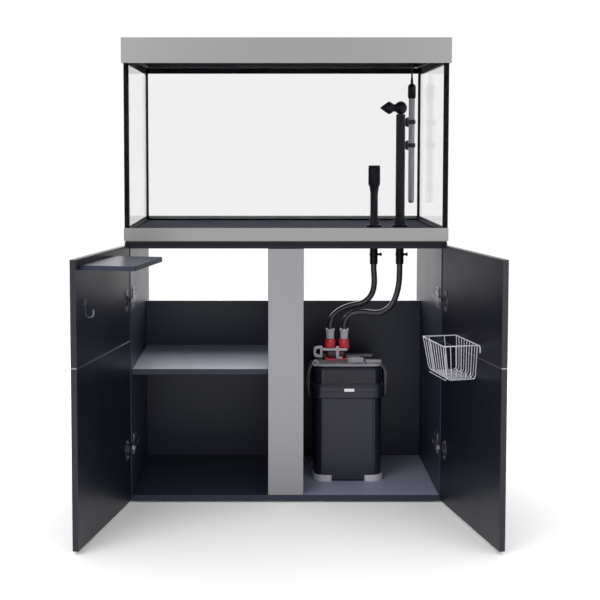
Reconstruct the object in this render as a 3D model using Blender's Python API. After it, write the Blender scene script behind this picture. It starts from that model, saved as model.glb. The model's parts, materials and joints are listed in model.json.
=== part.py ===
"""Aquarium on a two-door stand: glass tank, hood, cabinet, canister filter, heater and pipework.

Metres, +Z up, +X to the right of someone facing the doors.  Sizes are laid out from the front
plane of the cabinet (y = 0); centre_on_origin() then moves the whole assembly to its frame.
"""
import math

import bmesh
import bpy
from mathutils import Matrix, Vector

GAP = 0.0003                       # what touching pieces keep between them

# Cabinet carcass
CABINET_WIDTH = 0.920
PANEL = 0.016                      # side, base, back, shelf, divider and door board
SIDE_DEPTH = 0.491
RUNNER_HEIGHT = 0.006
RUNNER_WIDTH = 0.040
RUNNER_INSET = 0.020
TOP_PANEL_TOP = 0.756
TOP_PANEL_THICKNESS = 0.018
BACK_PANEL_Y = 0.404               # its front face
BACK_PANEL_TOP = 0.530
SHELF_TOP = 0.386
SHELF_FRONT = 0.020
FASCIA_WIDTH = 0.102
FASCIA_THICKNESS = 0.012

# Tank
TANK_WIDTH = 0.920
TANK_DEPTH = 0.540
TANK_FRONT = -0.018
MAT_THICKNESS = 0.005
MAT_INSET = 0.004
TRIM_HEIGHT = 0.037
TRIM_WALL = 0.0017
TRIM_LEDGE_HEIGHT = 0.0127
TRIM_LEDGE_WIDTH = 0.022
GLASS = 0.008
BOTTOM_GLASS = 0.010
GLASS_TOP = 1.285
SEAM = 0.005                       # silicone fillet, each way

# Hood
HOOD_OVERHANG = 0.004
HOOD_BOTTOM = 1.263
HOOD_TOP = 1.334
HOOD_SKIN = 0.003
HOOD_LIP = 0.018                   # how far the seat reaches in over the glass
HOOD_REAR_RELIEF = 0.009
FLAP_WIDTH = 0.660
FLAP_DEPTH = 0.170
FLAP_FRONT = 0.012
FLAP_GAP = 0.001
LIGHT_BAR_DEPTH = 0.060
LIGHT_BAR_HEIGHT = 0.016
LIGHT_BAR_Y = 0.270
LIGHT_BAR_TOP = 1.322
NOTCH_WIDTH = 0.030
NOTCH_HEIGHT = 0.014

# Doors and what hangs on them
DOOR_WIDTH = 0.406
DOOR_BOTTOM = 0.008
DOOR_TOP = 0.748
DOOR_REVEAL = 0.002                # closed door to carcass
DOOR_SPLIT = 0.475                 # middle of the metal strip
STRIP_HEIGHT = 0.003
DOOR_OPEN = 102                    # degrees open, as the frame's rest pose
PIVOT_INSET = 0.005                # pivot line, in from the side of the cabinet
HINGE_HEIGHTS = {"upper": 0.592, "lower": 0.165}
CUP_RADIUS = 0.0172
CUP_WALL = 0.0017
CUP_DEPTH = 0.0117
CUP_FROM_PIVOT = 0.022
CUP_BORE_CLEARANCE = 0.0003
FLANGE = (0.018, 0.060, 0.0012)    # across, tall, thick
ARM_HEIGHT = 0.011
ARM_THICKNESS = 0.009
ARM_REACH_BACK = 0.086
ARM_NOSE = 0.001                   # nose tip, past the pivot line towards the front
ARM_PLATE = (0.003, 0.050, 0.060)  # off the side panel, deep, tall
ARM_PLATE_Y = 0.030
DOOR_SHELF_THICKNESS = 0.012
DOOR_SHELF_TOP = 0.732
DOOR_SHELF_LENGTH = 0.236
DOOR_SHELF_REACH = 0.144
DOOR_SHELF_CORNER = 0.010
HOOK_HEIGHT = 0.048
HOOK_BOTTOM = 0.595
HOOK_REACH = 0.026
HOOK_WIRE = 0.004
HOOK_FROM_PIVOT = 0.345
BASKET_FROM_PIVOT = 0.103
BASKET_LENGTH = 0.161
BASKET_REACH = 0.101
BASKET_RIM = 0.511
BASKET_HEIGHT = 0.098
BASKET_WALL = 0.0025
BASKET_TAPER = 0.016

# Filter
FILTER_X = 0.1905
FILTER_FRONT = 0.130
FILTER_WIDTH = 0.202
FILTER_DEPTH = 0.185
FILTER_CORNER = 0.030
CANISTER_WALL = 0.004
COLLAR_BOTTOM = 0.277
COLLAR_TOP = 0.314
COLLAR_SPREAD = 0.009
FILTER_HEAD_TOP = 0.370
MEDIA_BASKET_GAP = 0.006
CLAMP_BAND = 0.004
CLAMP_LENGTH = 0.060
CLAMP_BULGE = 0.0195
CLAMP_PIVOT_DROP = 0.005
CLAMP_TAIL = 0.266
VALVE_WIDTH = 0.069
VALVE_DEPTH = 0.040
VALVE_Y = 0.216
VALVE_X = 0.1585
VALVE_BLOCK_TOP = 0.405
PORT_X = (0.140, 0.183)
PORT_COLLAR = (0.0165, 0.440)      # radius, top
PORT_NUT = (0.014, 0.471)
LEVER_PIVOT = (0.163, 0.411)
LEVER_THICKNESS = 0.006
PRIMER_X = 0.208
PRIMER_Y = 0.165
PRIMER_SIZE = (0.042, 0.036)
PRIMER_TOP = 0.393
PRIMER_TRAVEL = 0.012

# Pipework and heater
PIPE_X = {"intake": 0.272, "outlet": 0.351}
PIPE_Y = 0.212
SHANK_RADIUS = 0.014
HOLE_CLEARANCE = 0.0007
FLANGE_RADIUS = 0.023
FLANGE_THICKNESS = 0.007
TAIL_RADIUS = 0.012
TAIL_BOTTOM = 0.671
BULKHEAD_BORE = 0.007
INTAKE_RADIUS = 0.0115
OUTLET_RADIUS = 0.014
PIPE_WALL = 0.002
STRAINER_BOTTOM = 0.889
STRAINER_TOP = 0.971
STRAINER_RADIUS = 0.018
OUTLET_TOP = 1.1255
BALL_RADIUS = 0.019
NOZZLE_TIP_X = 0.290
NOZZLE_WIDE = 0.020
HEATER_X = 0.421
HEATER_STANDOFF = 0.027            # tube axis to the rear glass
HEATER_BOTTOM = 0.842
HEATER_NECK = 1.184
HEATER_TOP = 1.232
HEATER_RADIUS = 0.010
HEATER_HEAD_RADIUS = 0.013
HOSE_RADIUS = 0.009
CORD_RADIUS = 0.003
COIL_RADIUS = 0.034                # cord centre line
COIL_LAYERS = 3                    # two turns and a bit lie three deep where they overlap
COIL_CENTRE = (0.370, 0.478)
PLUG_SIZE = (0.040, 0.026, 0.024)
PLUG_FROM_COIL = 0.051             # coil centre to plug centre, along X
PLUG_NECK_RADIUS = 0.0045
PLUG_NECK_HEIGHT = 0.006
PIN_LENGTH = 0.019

# Worked out from the sizes above
HALF = CABINET_WIDTH / 2
INNER = HALF - PANEL               # inside face of a side panel
BASE_TOP = RUNNER_HEIGHT + PANEL
TOP_PANEL_BOTTOM = TOP_PANEL_TOP - TOP_PANEL_THICKNESS
TANK_BACK = TANK_FRONT + TANK_DEPTH
TANK_HALF = TANK_WIDTH / 2
TRIM_BOTTOM = TOP_PANEL_TOP + MAT_THICKNESS
TRIM_TOP = TRIM_BOTTOM + TRIM_HEIGHT
LEDGE_TOP = TRIM_BOTTOM + TRIM_LEDGE_HEIGHT
GLASS_HALF = TANK_HALF - TRIM_WALL - GAP
GLASS_FRONT = TANK_FRONT + TRIM_WALL + GAP
GLASS_BACK = TANK_BACK - TRIM_WALL - GAP
FLOOR_TOP = LEDGE_TOP + GAP + BOTTOM_GLASS
HOOD_HALF = TANK_HALF + HOOD_OVERHANG
HOOD_FRONT = TANK_FRONT - HOOD_OVERHANG
HOOD_BACK = TANK_BACK + HOOD_OVERHANG
PIVOT_X = HALF - PIVOT_INSET
PIVOT_Y = -(DOOR_REVEAL + PANEL / 2)
FILTER_Y = FILTER_FRONT + FILTER_DEPTH / 2
HEATER_Y = GLASS_BACK - GLASS - HEATER_STANDOFF
COIL_HEIGHT = COIL_LAYERS * 2 * CORD_RADIUS + 5 * GAP

INTAKE_ROUTE = [(PIPE_X["intake"], PIPE_Y, TAIL_BOTTOM - GAP), (PIPE_X["intake"], PIPE_Y, 0.655),
                (0.274, 0.214, 0.630), (0.274, 0.217, 0.606), (0.270, 0.223, 0.583),
                (0.258, 0.229, 0.562), (0.235, 0.234, 0.546), (0.205, 0.2355, 0.539),
                (0.178, 0.231, 0.530), (0.157, 0.224, 0.517), (0.1445, 0.218, 0.502),
                (PORT_X[0], VALVE_Y, 0.485), (PORT_X[0], VALVE_Y, PORT_NUT[1] + GAP)]
OUTLET_ROUTE = [(PIPE_X["outlet"], PIPE_Y, TAIL_BOTTOM - GAP), (PIPE_X["outlet"], PIPE_Y, 0.650),
                (0.350, 0.211, 0.622), (0.346, 0.209, 0.595), (0.338, 0.206, 0.568),
                (0.325, 0.204, 0.544), (0.302, 0.202, 0.526), (0.274, 0.202, 0.521),
                (0.246, 0.204, 0.524), (0.219, 0.208, 0.522), (0.199, 0.212, 0.514),
                (0.188, 0.2148, 0.501), (PORT_X[1], VALVE_Y, 0.484),
                (PORT_X[1], VALVE_Y, PORT_NUT[1] + GAP)]
CORD_ROUTE = [(HEATER_X, HEATER_Y, HEATER_TOP + GAP), (HEATER_X, HEATER_Y, 1.247),
              (0.421, 0.485, 1.264), (0.4231, 0.4888, 1.2801), (0.4289, 0.499, 1.2918),
              (0.4368, 0.513, 1.2961), (0.4446, 0.527, 1.2918),
              (0.4504, 0.5372, 1.2801), (0.4525, 0.541, 1.264), (0.4533, 0.541, 1.205),
              (0.4535, 0.541, 1.100), (0.4535, 0.540, 0.900), (0.453, 0.538, 0.650),
              (0.452, 0.535, 0.350), (0.4488, 0.527, 0.140), (0.4478, 0.5252, 0.075),
              (0.4477, 0.5248, 0.054), (0.4463, 0.523, 0.038),
              (0.4416, 0.5168, 0.0247), (0.4347, 0.5076, 0.0178),
              (0.4254, 0.4952, 0.0165), (0.4106, 0.4754, 0.0165)]


def clear_scene():
    for obj in list(bpy.data.objects):
        bpy.data.objects.remove(obj, do_unlink=True)


def material(name, colour, roughness, metallic=0.0, transmission=0.0):
    mat = bpy.data.materials.new(name)
    mat.use_nodes = True
    shader = mat.node_tree.nodes["Principled BSDF"]
    shader.inputs["Base Color"].default_value = (*colour, 1.0)
    shader.inputs["Roughness"].default_value = roughness
    shader.inputs["Metallic"].default_value = metallic
    shader.inputs["Transmission Weight"].default_value = transmission
    mat.diffuse_color = (*colour, 1.0)
    return mat


# ---------------------------------------------------------------- shapes

def box(x0, x1, y0, y1, z0, z1):
    bm = bmesh.new()
    middle = Vector((x0 + x1, y0 + y1, z0 + z1)) / 2
    size = (x1 - x0, y1 - y0, z1 - z0)
    bmesh.ops.create_cube(bm, size=1.0, matrix=Matrix.Translation(middle) @ Matrix.Diagonal((*size, 1)))
    return bm


def ring_points(x, y, half_x, half_y, radius, steps=5):
    """A rounded rectangle, anticlockwise."""
    points = []
    for sign_x, sign_y, start in ((1, 1, 0), (-1, 1, 90), (-1, -1, 180), (1, -1, 270)):
        for step in range(steps + 1):
            angle = math.radians(start + 90 * step / steps)
            points.append((x + sign_x * (half_x - radius) + radius * math.cos(angle),
                           y + sign_y * (half_y - radius) + radius * math.sin(angle)))
    return points


def loft(rings):
    """rings: (z, outline points); neighbours are bridged and the two ends are capped."""
    bm = bmesh.new()
    loops = [[bm.verts.new((x, y, z)) for x, y in outline] for z, outline in rings]
    for lower, upper in zip(loops, loops[1:]):
        for i in range(len(lower)):
            j = (i + 1) % len(lower)
            bm.faces.new((lower[i], lower[j], upper[j], upper[i]))
    bm.faces.new(loops[0][::-1])
    bm.faces.new(loops[-1])
    return bm


def prism(outline, z0, z1):
    return loft([(z0, outline), (z1, outline)])


def turned(profile, x=0.0, y=0.0, segments=32, hollow=False):
    """profile: (radius, z).  It starts and ends on the axis, or is a closed loop when hollow."""
    bm = bmesh.new()
    verts = [bm.verts.new((radius, 0.0, z)) for radius, z in profile]
    edges = [bm.edges.new(pair) for pair in zip(verts, verts[1:])]
    if hollow:
        edges.append(bm.edges.new((verts[-1], verts[0])))
    bmesh.ops.spin(bm, geom=verts + edges, axis=(0, 0, 1), cent=(0, 0, 0), angle=2 * math.pi,
                   steps=segments, use_merge=True)
    bmesh.ops.remove_doubles(bm, verts=bm.verts, dist=0.00001)
    bmesh.ops.translate(bm, verts=bm.verts, vec=(x, y, 0))
    return bm


def cylinder(radius, x, y, z0, z1, segments=32):
    return turned([(0, z0), (radius, z0), (radius, z1), (0, z1)], x, y, segments)


def upright(bm, y):
    """Stands a shape drawn flat on XY up into XZ, with its z = 0 side at y, growing towards -Y."""
    bmesh.ops.transform(bm, verts=bm.verts, matrix=Matrix.Rotation(math.pi / 2, 4, "X"))
    bmesh.ops.translate(bm, verts=bm.verts, vec=(0, y, 0))
    return bm


def ribbon(path, width):
    """The outline of a band of even width along an open path."""
    points = [Vector(point) for point in path]
    left, right = [], []
    for i, point in enumerate(points):
        along = (points[min(i + 1, len(points) - 1)] - points[max(i - 1, 0)]).normalized()
        side = Vector((-along.y, along.x)) * width / 2
        left.append(tuple(point + side))
        right.append(tuple(point - side))
    return right + left[::-1]


def smooth(points, spacing):
    """Points at even spacing on a Catmull-Rom curve through the given ones."""
    knots = [Vector(point) for point in points]
    knots = [2 * knots[0] - knots[1]] + knots + [2 * knots[-1] - knots[-2]]
    fine = []
    for a, b, c, d in zip(knots, knots[1:], knots[2:], knots[3:]):
        for step in range(20):
            t = step / 20
            fine.append(0.5 * (2 * b + (c - a) * t + (2 * a - 5 * b + 4 * c - d) * t ** 2
                               + (3 * b - a - 3 * c + d) * t ** 3))
    fine.append(knots[-2])
    lengths = [0.0]
    for before, after in zip(fine, fine[1:]):
        lengths.append(lengths[-1] + (after - before).length)
    count = max(2, round(lengths[-1] / spacing))
    result, i = [], 0
    for step in range(count + 1):
        wanted = lengths[-1] * step / count
        while i < len(fine) - 2 and lengths[i + 1] < wanted:
            i += 1
        share = (wanted - lengths[i]) / (lengths[i + 1] - lengths[i])
        result.append(fine[i].lerp(fine[i + 1], min(max(share, 0.0), 1.0)))
    return result


# ---------------------------------------------------------------- objects

def node(name, bm, mat, parent=None, origin=(0, 0, 0), bevel=0.0):
    bmesh.ops.recalc_face_normals(bm, faces=bm.faces)
    bmesh.ops.translate(bm, verts=bm.verts, vec=-Vector(origin))
    mesh = bpy.data.meshes.new(name)
    bm.to_mesh(mesh)
    bm.free()
    mesh.materials.append(mat)
    obj = bpy.data.objects.new(name, mesh)
    obj.location = origin
    obj.parent = parent
    bpy.context.scene.collection.objects.link(obj)
    if bevel:
        edges = obj.modifiers.new("edges", "BEVEL")
        edges.width = bevel
        edges.segments = 1
        edges.limit_method = "ANGLE"
    return obj


def combine(target, bm, operation, label):
    """Adds a Boolean with a wire-only tool object."""
    tool = node(f"{target.name}_{label}", bm, target.data.materials[0], target.parent)
    tool.hide_render = True
    tool.display_type = "WIRE"
    boolean = target.modifiers.new(label, "BOOLEAN")
    boolean.operation = operation
    boolean.object = tool


def cut(target, bm, label):
    combine(target, bm, "DIFFERENCE", label)


def fuse(target, bm, label):
    combine(target, bm, "UNION", label)


def tube(name, route, radius, spacing, mat):
    """Runs straight between the route's first two points and its last two, to meet its ends squarely."""
    curve = bpy.data.curves.new(name, "CURVE")
    curve.dimensions = "3D"
    curve.bevel_depth = radius
    curve.bevel_resolution = 2
    curve.use_fill_caps = True
    points = [Vector(route[0])] + smooth(route[1:-1], spacing) + [Vector(route[-1])]
    spline = curve.splines.new("POLY")
    spline.points.add(len(points) - 1)
    for target, point in zip(spline.points, points):
        target.co = (*point, 1.0)
    curve.materials.append(mat)
    obj = bpy.data.objects.new(name, curve)
    bpy.context.scene.collection.objects.link(obj)


# ---------------------------------------------------------------- cabinet

def build_cabinet(board, brushed, rubber):
    edge = 0.0008
    runner_x = {"left_runner": -HALF + RUNNER_INSET + RUNNER_WIDTH / 2, "centre_runner": 0.0,
                "right_runner": HALF - RUNNER_INSET - RUNNER_WIDTH / 2}
    for name, x in runner_x.items():
        node(name, box(x - RUNNER_WIDTH / 2, x + RUNNER_WIDTH / 2, RUNNER_INSET,
                       BACK_PANEL_Y + PANEL - RUNNER_INSET, 0, RUNNER_HEIGHT - GAP), rubber)
    node("base_panel", box(-INNER + GAP, INNER - GAP, 0, BACK_PANEL_Y + PANEL, RUNNER_HEIGHT, BASE_TOP),
         board, bevel=edge)
    for name, side in (("left_side_panel", -1), ("right_side_panel", 1)):
        near, far = sorted((side * INNER, side * HALF))
        node(name, box(near, far, 0, SIDE_DEPTH, RUNNER_HEIGHT, TOP_PANEL_BOTTOM - GAP), board, bevel=edge)
    top = node("top_panel", box(-HALF, HALF, 0, TANK_BACK, TOP_PANEL_BOTTOM, TOP_PANEL_TOP), board,
               bevel=edge)
    for label, x in PIPE_X.items():
        cut(top, cylinder(SHANK_RADIUS + HOLE_CLEARANCE, x, PIPE_Y, TOP_PANEL_BOTTOM - 0.01,
                          TOP_PANEL_TOP + 0.01), f"{label}_hole")
    node("back_panel", box(-INNER + GAP, INNER - GAP, BACK_PANEL_Y, BACK_PANEL_Y + PANEL, BASE_TOP + GAP,
                           BACK_PANEL_TOP), board, bevel=edge)
    node("centre_fascia", box(-FASCIA_WIDTH / 2, FASCIA_WIDTH / 2, 0, FASCIA_THICKNESS, BASE_TOP + GAP,
                              TOP_PANEL_BOTTOM - GAP), brushed, bevel=edge)
    node("centre_divider", box(-PANEL / 2, PANEL / 2, FASCIA_THICKNESS + GAP, BACK_PANEL_Y - GAP,
                               BASE_TOP + GAP, TOP_PANEL_BOTTOM - GAP), board, bevel=edge)
    node("cabinet_shelf", box(-INNER + GAP, -PANEL / 2 - GAP, SHELF_FRONT, BACK_PANEL_Y - GAP,
                              SHELF_TOP - PANEL, SHELF_TOP), board, bevel=edge)


def build_door(side, label, board, brushed, chrome):
    """A door is drawn closed about its pivot line and hangs on an empty turned to the rest pose."""
    pivot = bpy.data.objects.new(f"{label}_door_pivot", None)
    pivot.location = (side * PIVOT_X, PIVOT_Y, 0)
    pivot.rotation_euler = (0, 0, side * math.radians(DOOR_OPEN))
    bpy.context.scene.collection.objects.link(pivot)

    def across(near, far):
        return sorted((-side * near, -side * far))

    start, end = across(-PIVOT_INSET, DOOR_WIDTH - PIVOT_INSET)
    inner_face = PANEL / 2
    strip_bottom = DOOR_SPLIT - STRIP_HEIGHT / 2
    strip_top = DOOR_SPLIT + STRIP_HEIGHT / 2
    panels = {"upper": node(f"{label}_door_upper", box(start, end, -inner_face, inner_face,
                                                       strip_top + GAP, DOOR_TOP), board, pivot,
                            bevel=0.0008),
              "lower": node(f"{label}_door_lower", box(start, end, -inner_face, inner_face, DOOR_BOTTOM,
                                                       strip_bottom - GAP), board, pivot, bevel=0.0008)}
    node(f"{label}_door_strip", box(start, end, -inner_face, inner_face, strip_bottom, strip_top), brushed,
         pivot)
    for level, height in HINGE_HEIGHTS.items():
        build_hinge(side, f"{label}_{level}", height, panels[level], chrome)
    return pivot


def build_hinge(side, label, height, panel, chrome):
    """A cup let into the door, and an arm on the side panel whose nose enters the cup."""
    def disc(radius, y0, y1):
        bm = upright(cylinder(radius, 0, 0, 0, y1 - y0), y1)
        bmesh.ops.translate(bm, verts=bm.verts, vec=(-side * CUP_FROM_PIVOT, 0, height))
        return bm

    face = PANEL / 2
    cut(panel, disc(CUP_RADIUS + CUP_BORE_CLEARANCE, face - CUP_DEPTH - GAP, face + 0.01), f"{label}_bore")
    across, tall, thick = FLANGE
    middle = -side * CUP_FROM_PIVOT
    cup = node(f"{label}_hinge_cup", disc(CUP_RADIUS, face - CUP_DEPTH, face + GAP + thick), chrome,
               panel.parent)
    fuse(cup, box(middle - across / 2, middle + across / 2, face + GAP, face + GAP + thick,
                  height - tall / 2, height + tall / 2), "flange")
    cut(cup, disc(CUP_RADIUS - CUP_WALL, face - CUP_DEPTH + CUP_WALL / 2, face + 0.01), "well")

    off, deep, plate_tall = ARM_PLATE
    wall = side * (INNER - GAP)
    x0, x1 = sorted((wall, wall - side * off))
    arm = node(f"{label}_hinge_arm", box(x0, x1, ARM_PLATE_Y, ARM_PLATE_Y + deep, height - plate_tall / 2,
                                         height + plate_tall / 2), chrome)
    x0, x1 = sorted((wall - side * off * 0.6, wall - side * (off * 0.6 + ARM_THICKNESS)))
    fuse(arm, box(x0, x1, PIVOT_Y - ARM_NOSE, ARM_REACH_BACK, height - ARM_HEIGHT / 2,
                  height + ARM_HEIGHT / 2), "bar")


def build_door_fittings(left, right, board, chrome, coated):
    face = PANEL / 2 + GAP
    far = DOOR_WIDTH - PIVOT_INSET - 0.029
    near = far - DOOR_SHELF_LENGTH
    outline = ring_points((near + far) / 2, face + DOOR_SHELF_REACH / 2, DOOR_SHELF_LENGTH / 2,
                          DOOR_SHELF_REACH / 2, DOOR_SHELF_CORNER, 4)
    shelf = node("door_shelf", prism(outline, DOOR_SHELF_TOP - DOOR_SHELF_THICKNESS, DOOR_SHELF_TOP), board,
                 left)
    fuse(shelf, box(near, near + DOOR_SHELF_CORNER * 2, face, face + DOOR_SHELF_CORNER * 2,
                    DOOR_SHELF_TOP - DOOR_SHELF_THICKNESS, DOOR_SHELF_TOP), "near_corner")
    fuse(shelf, box(far - DOOR_SHELF_CORNER * 2, far, face, face + DOOR_SHELF_CORNER * 2,
                    DOOR_SHELF_TOP - DOOR_SHELF_THICKNESS, DOOR_SHELF_TOP), "far_corner")

    lip = HOOK_REACH - HOOK_WIRE
    stem = face + HOOK_WIRE
    path = [(stem, HOOK_BOTTOM + HOOK_HEIGHT), (stem, HOOK_BOTTOM + lip / 2)]
    for step in range(1, 7):
        angle = math.pi * step / 6
        path.append((stem + lip / 2 - lip / 2 * math.cos(angle),
                     HOOK_BOTTOM + lip / 2 - (lip / 2 - HOOK_WIRE / 2) * math.sin(angle)))
    path.append((stem + lip, HOOK_BOTTOM + lip))
    hook = prism(ribbon(path, HOOK_WIRE), 0, HOOK_WIRE)
    turn = Matrix(((0, 0, 1, HOOK_FROM_PIVOT), (1, 0, 0, 0), (0, 1, 0, 0), (0, 0, 0, 1)))
    bmesh.ops.transform(hook, verts=hook.verts, matrix=turn)
    hook_obj = node("net_hook", hook, chrome, left)
    fuse(hook_obj, box(HOOK_FROM_PIVOT - 0.006, HOOK_FROM_PIVOT + HOOK_WIRE + 0.006, face,
                       face + HOOK_WIRE * 0.8, HOOK_BOTTOM + HOOK_HEIGHT - 0.016,
                       HOOK_BOTTOM + HOOK_HEIGHT + 0.002), "plate")

    rim_x = -(BASKET_FROM_PIVOT + BASKET_LENGTH / 2)
    rim_y = face + BASKET_REACH / 2
    taper = BASKET_TAPER

    def wall(inset, spread):
        return ring_points(rim_x, rim_y - spread / 2, BASKET_LENGTH / 2 - inset - spread,
                           BASKET_REACH / 2 - inset - spread / 2, 0.008, 3)

    bottom = BASKET_RIM - BASKET_HEIGHT
    rings = [(bottom, wall(0, taper)), (BASKET_RIM, wall(0, 0)), (BASKET_RIM, wall(BASKET_WALL, 0)),
             (bottom + BASKET_WALL, wall(BASKET_WALL, taper))]
    node("wire_basket", loft(rings), coated, right)


# ---------------------------------------------------------------- tank

def build_tank(brushed, glass, rubber, black):
    bottom = TOP_PANEL_TOP + GAP
    mat_half = TANK_HALF - MAT_INSET
    mat = node("support_mat", box(-mat_half, mat_half, TANK_FRONT + MAT_INSET, TANK_BACK - MAT_INSET,
                                  bottom, TRIM_BOTTOM - GAP), rubber)
    frame = node("tank_base_frame", box(-TANK_HALF, TANK_HALF, TANK_FRONT, TANK_BACK, TRIM_BOTTOM,
                                        TRIM_TOP), brushed)
    cut(frame, box(-GLASS_HALF - GAP, GLASS_HALF + GAP, GLASS_FRONT - GAP, GLASS_BACK + GAP, LEDGE_TOP,
                   TRIM_TOP + 0.01), "pocket")
    cut(frame, box(-TANK_HALF + TRIM_LEDGE_WIDTH, TANK_HALF - TRIM_LEDGE_WIDTH,
                   TANK_FRONT + TRIM_LEDGE_WIDTH, TANK_BACK - TRIM_LEDGE_WIDTH, TRIM_BOTTOM - 0.01,
                   LEDGE_TOP + 0.01), "opening")

    z0 = LEDGE_TOP + GAP
    inside_x = GLASS_HALF - GLASS - GAP
    inside_front = GLASS_FRONT + GLASS + GAP
    inside_back = GLASS_BACK - GLASS - GAP
    pane = node("bottom_glass", box(-inside_x, inside_x, inside_front, inside_back, z0, FLOOR_TOP), glass)
    for label, x in PIPE_X.items():
        radius = SHANK_RADIUS + HOLE_CLEARANCE
        cut(pane, cylinder(radius, x, PIPE_Y, z0 - 0.01, FLOOR_TOP + 0.01), f"{label}_hole")
        cut(mat, cylinder(radius, x, PIPE_Y, bottom - 0.01, TRIM_BOTTOM + 0.01), f"{label}_hole")
    node("front_glass", box(-GLASS_HALF, GLASS_HALF, GLASS_FRONT, GLASS_FRONT + GLASS, z0, GLASS_TOP), glass)
    node("rear_glass", box(-GLASS_HALF, GLASS_HALF, GLASS_BACK - GLASS, GLASS_BACK, z0, GLASS_TOP), glass)
    for name, side in (("left_glass", -1), ("right_glass", 1)):
        x0, x1 = sorted((side * GLASS_HALF, side * (GLASS_HALF - GLASS)))
        node(name, box(x0, x1, inside_front, inside_back, z0, GLASS_TOP), glass)

    seam = node("silicone_seam", box(-inside_x, inside_x, inside_front, inside_back, FLOOR_TOP + GAP,
                                     GLASS_TOP), black)
    clear_x = inside_x - SEAM
    clear_front = inside_front + SEAM
    clear_back = inside_back - SEAM
    ring_top = FLOOR_TOP + GAP + SEAM
    cut(seam, box(-clear_x, clear_x, clear_front, clear_back, 0.5, GLASS_TOP + 0.1), "middle")
    cut(seam, box(-clear_x, clear_x, -1, 1, ring_top, GLASS_TOP + 0.1), "front_and_rear")
    cut(seam, box(-1, 1, clear_front, clear_back, ring_top, GLASS_TOP + 0.1), "sides")


def build_hood(brushed, black, white):
    hood = node("hood_frame", box(-HOOD_HALF, HOOD_HALF, HOOD_FRONT, HOOD_BACK, HOOD_BOTTOM, HOOD_TOP),
                brushed)
    seat = GLASS_TOP + GAP
    cut(hood, box(-GLASS_HALF - GAP, GLASS_HALF + GAP, GLASS_FRONT - GAP, GLASS_BACK + GAP,
                  HOOD_BOTTOM - 0.01, seat), "glass_pocket")
    inner_half = GLASS_HALF - HOOD_LIP
    inner_front = GLASS_FRONT + HOOD_LIP
    inner_back = GLASS_BACK - HOOD_LIP
    cut(hood, box(-inner_half, inner_half, inner_front, inner_back, HOOD_BOTTOM - 0.02,
                  HOOD_TOP - HOOD_SKIN), "light_space")
    cut(hood, box(-1, 1, GLASS_BACK - 0.002, 1, HOOD_BOTTOM - 0.03, HOOD_BOTTOM + HOOD_REAR_RELIEF),
        "rear_relief")
    flap_front = inner_front + FLAP_FRONT
    flap_back = flap_front + FLAP_DEPTH
    half = FLAP_WIDTH / 2
    cut(hood, box(-half - FLAP_GAP, half + FLAP_GAP, flap_front - FLAP_GAP, flap_back + FLAP_GAP,
                  HOOD_TOP - 0.03, HOOD_TOP + 0.01), "flap_opening")
    notch_x = CORD_ROUTE[5][0]
    cut(hood, box(notch_x - NOTCH_WIDTH / 2, notch_x + NOTCH_WIDTH / 2, inner_back - 0.01, 1, seat - 0.001,
                  seat + NOTCH_HEIGHT), "cord_notch")
    node("feeding_flap", box(-half, half, flap_front, flap_back, HOOD_TOP - HOOD_SKIN, HOOD_TOP), black,
         origin=(0, flap_back, HOOD_TOP))
    node("light_bar", box(-inner_half + GAP, inner_half - GAP, LIGHT_BAR_Y - LIGHT_BAR_DEPTH / 2,
                          LIGHT_BAR_Y + LIGHT_BAR_DEPTH / 2, LIGHT_BAR_TOP - LIGHT_BAR_HEIGHT,
                          LIGHT_BAR_TOP), white, bevel=0.002)


# ---------------------------------------------------------------- filter

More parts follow.
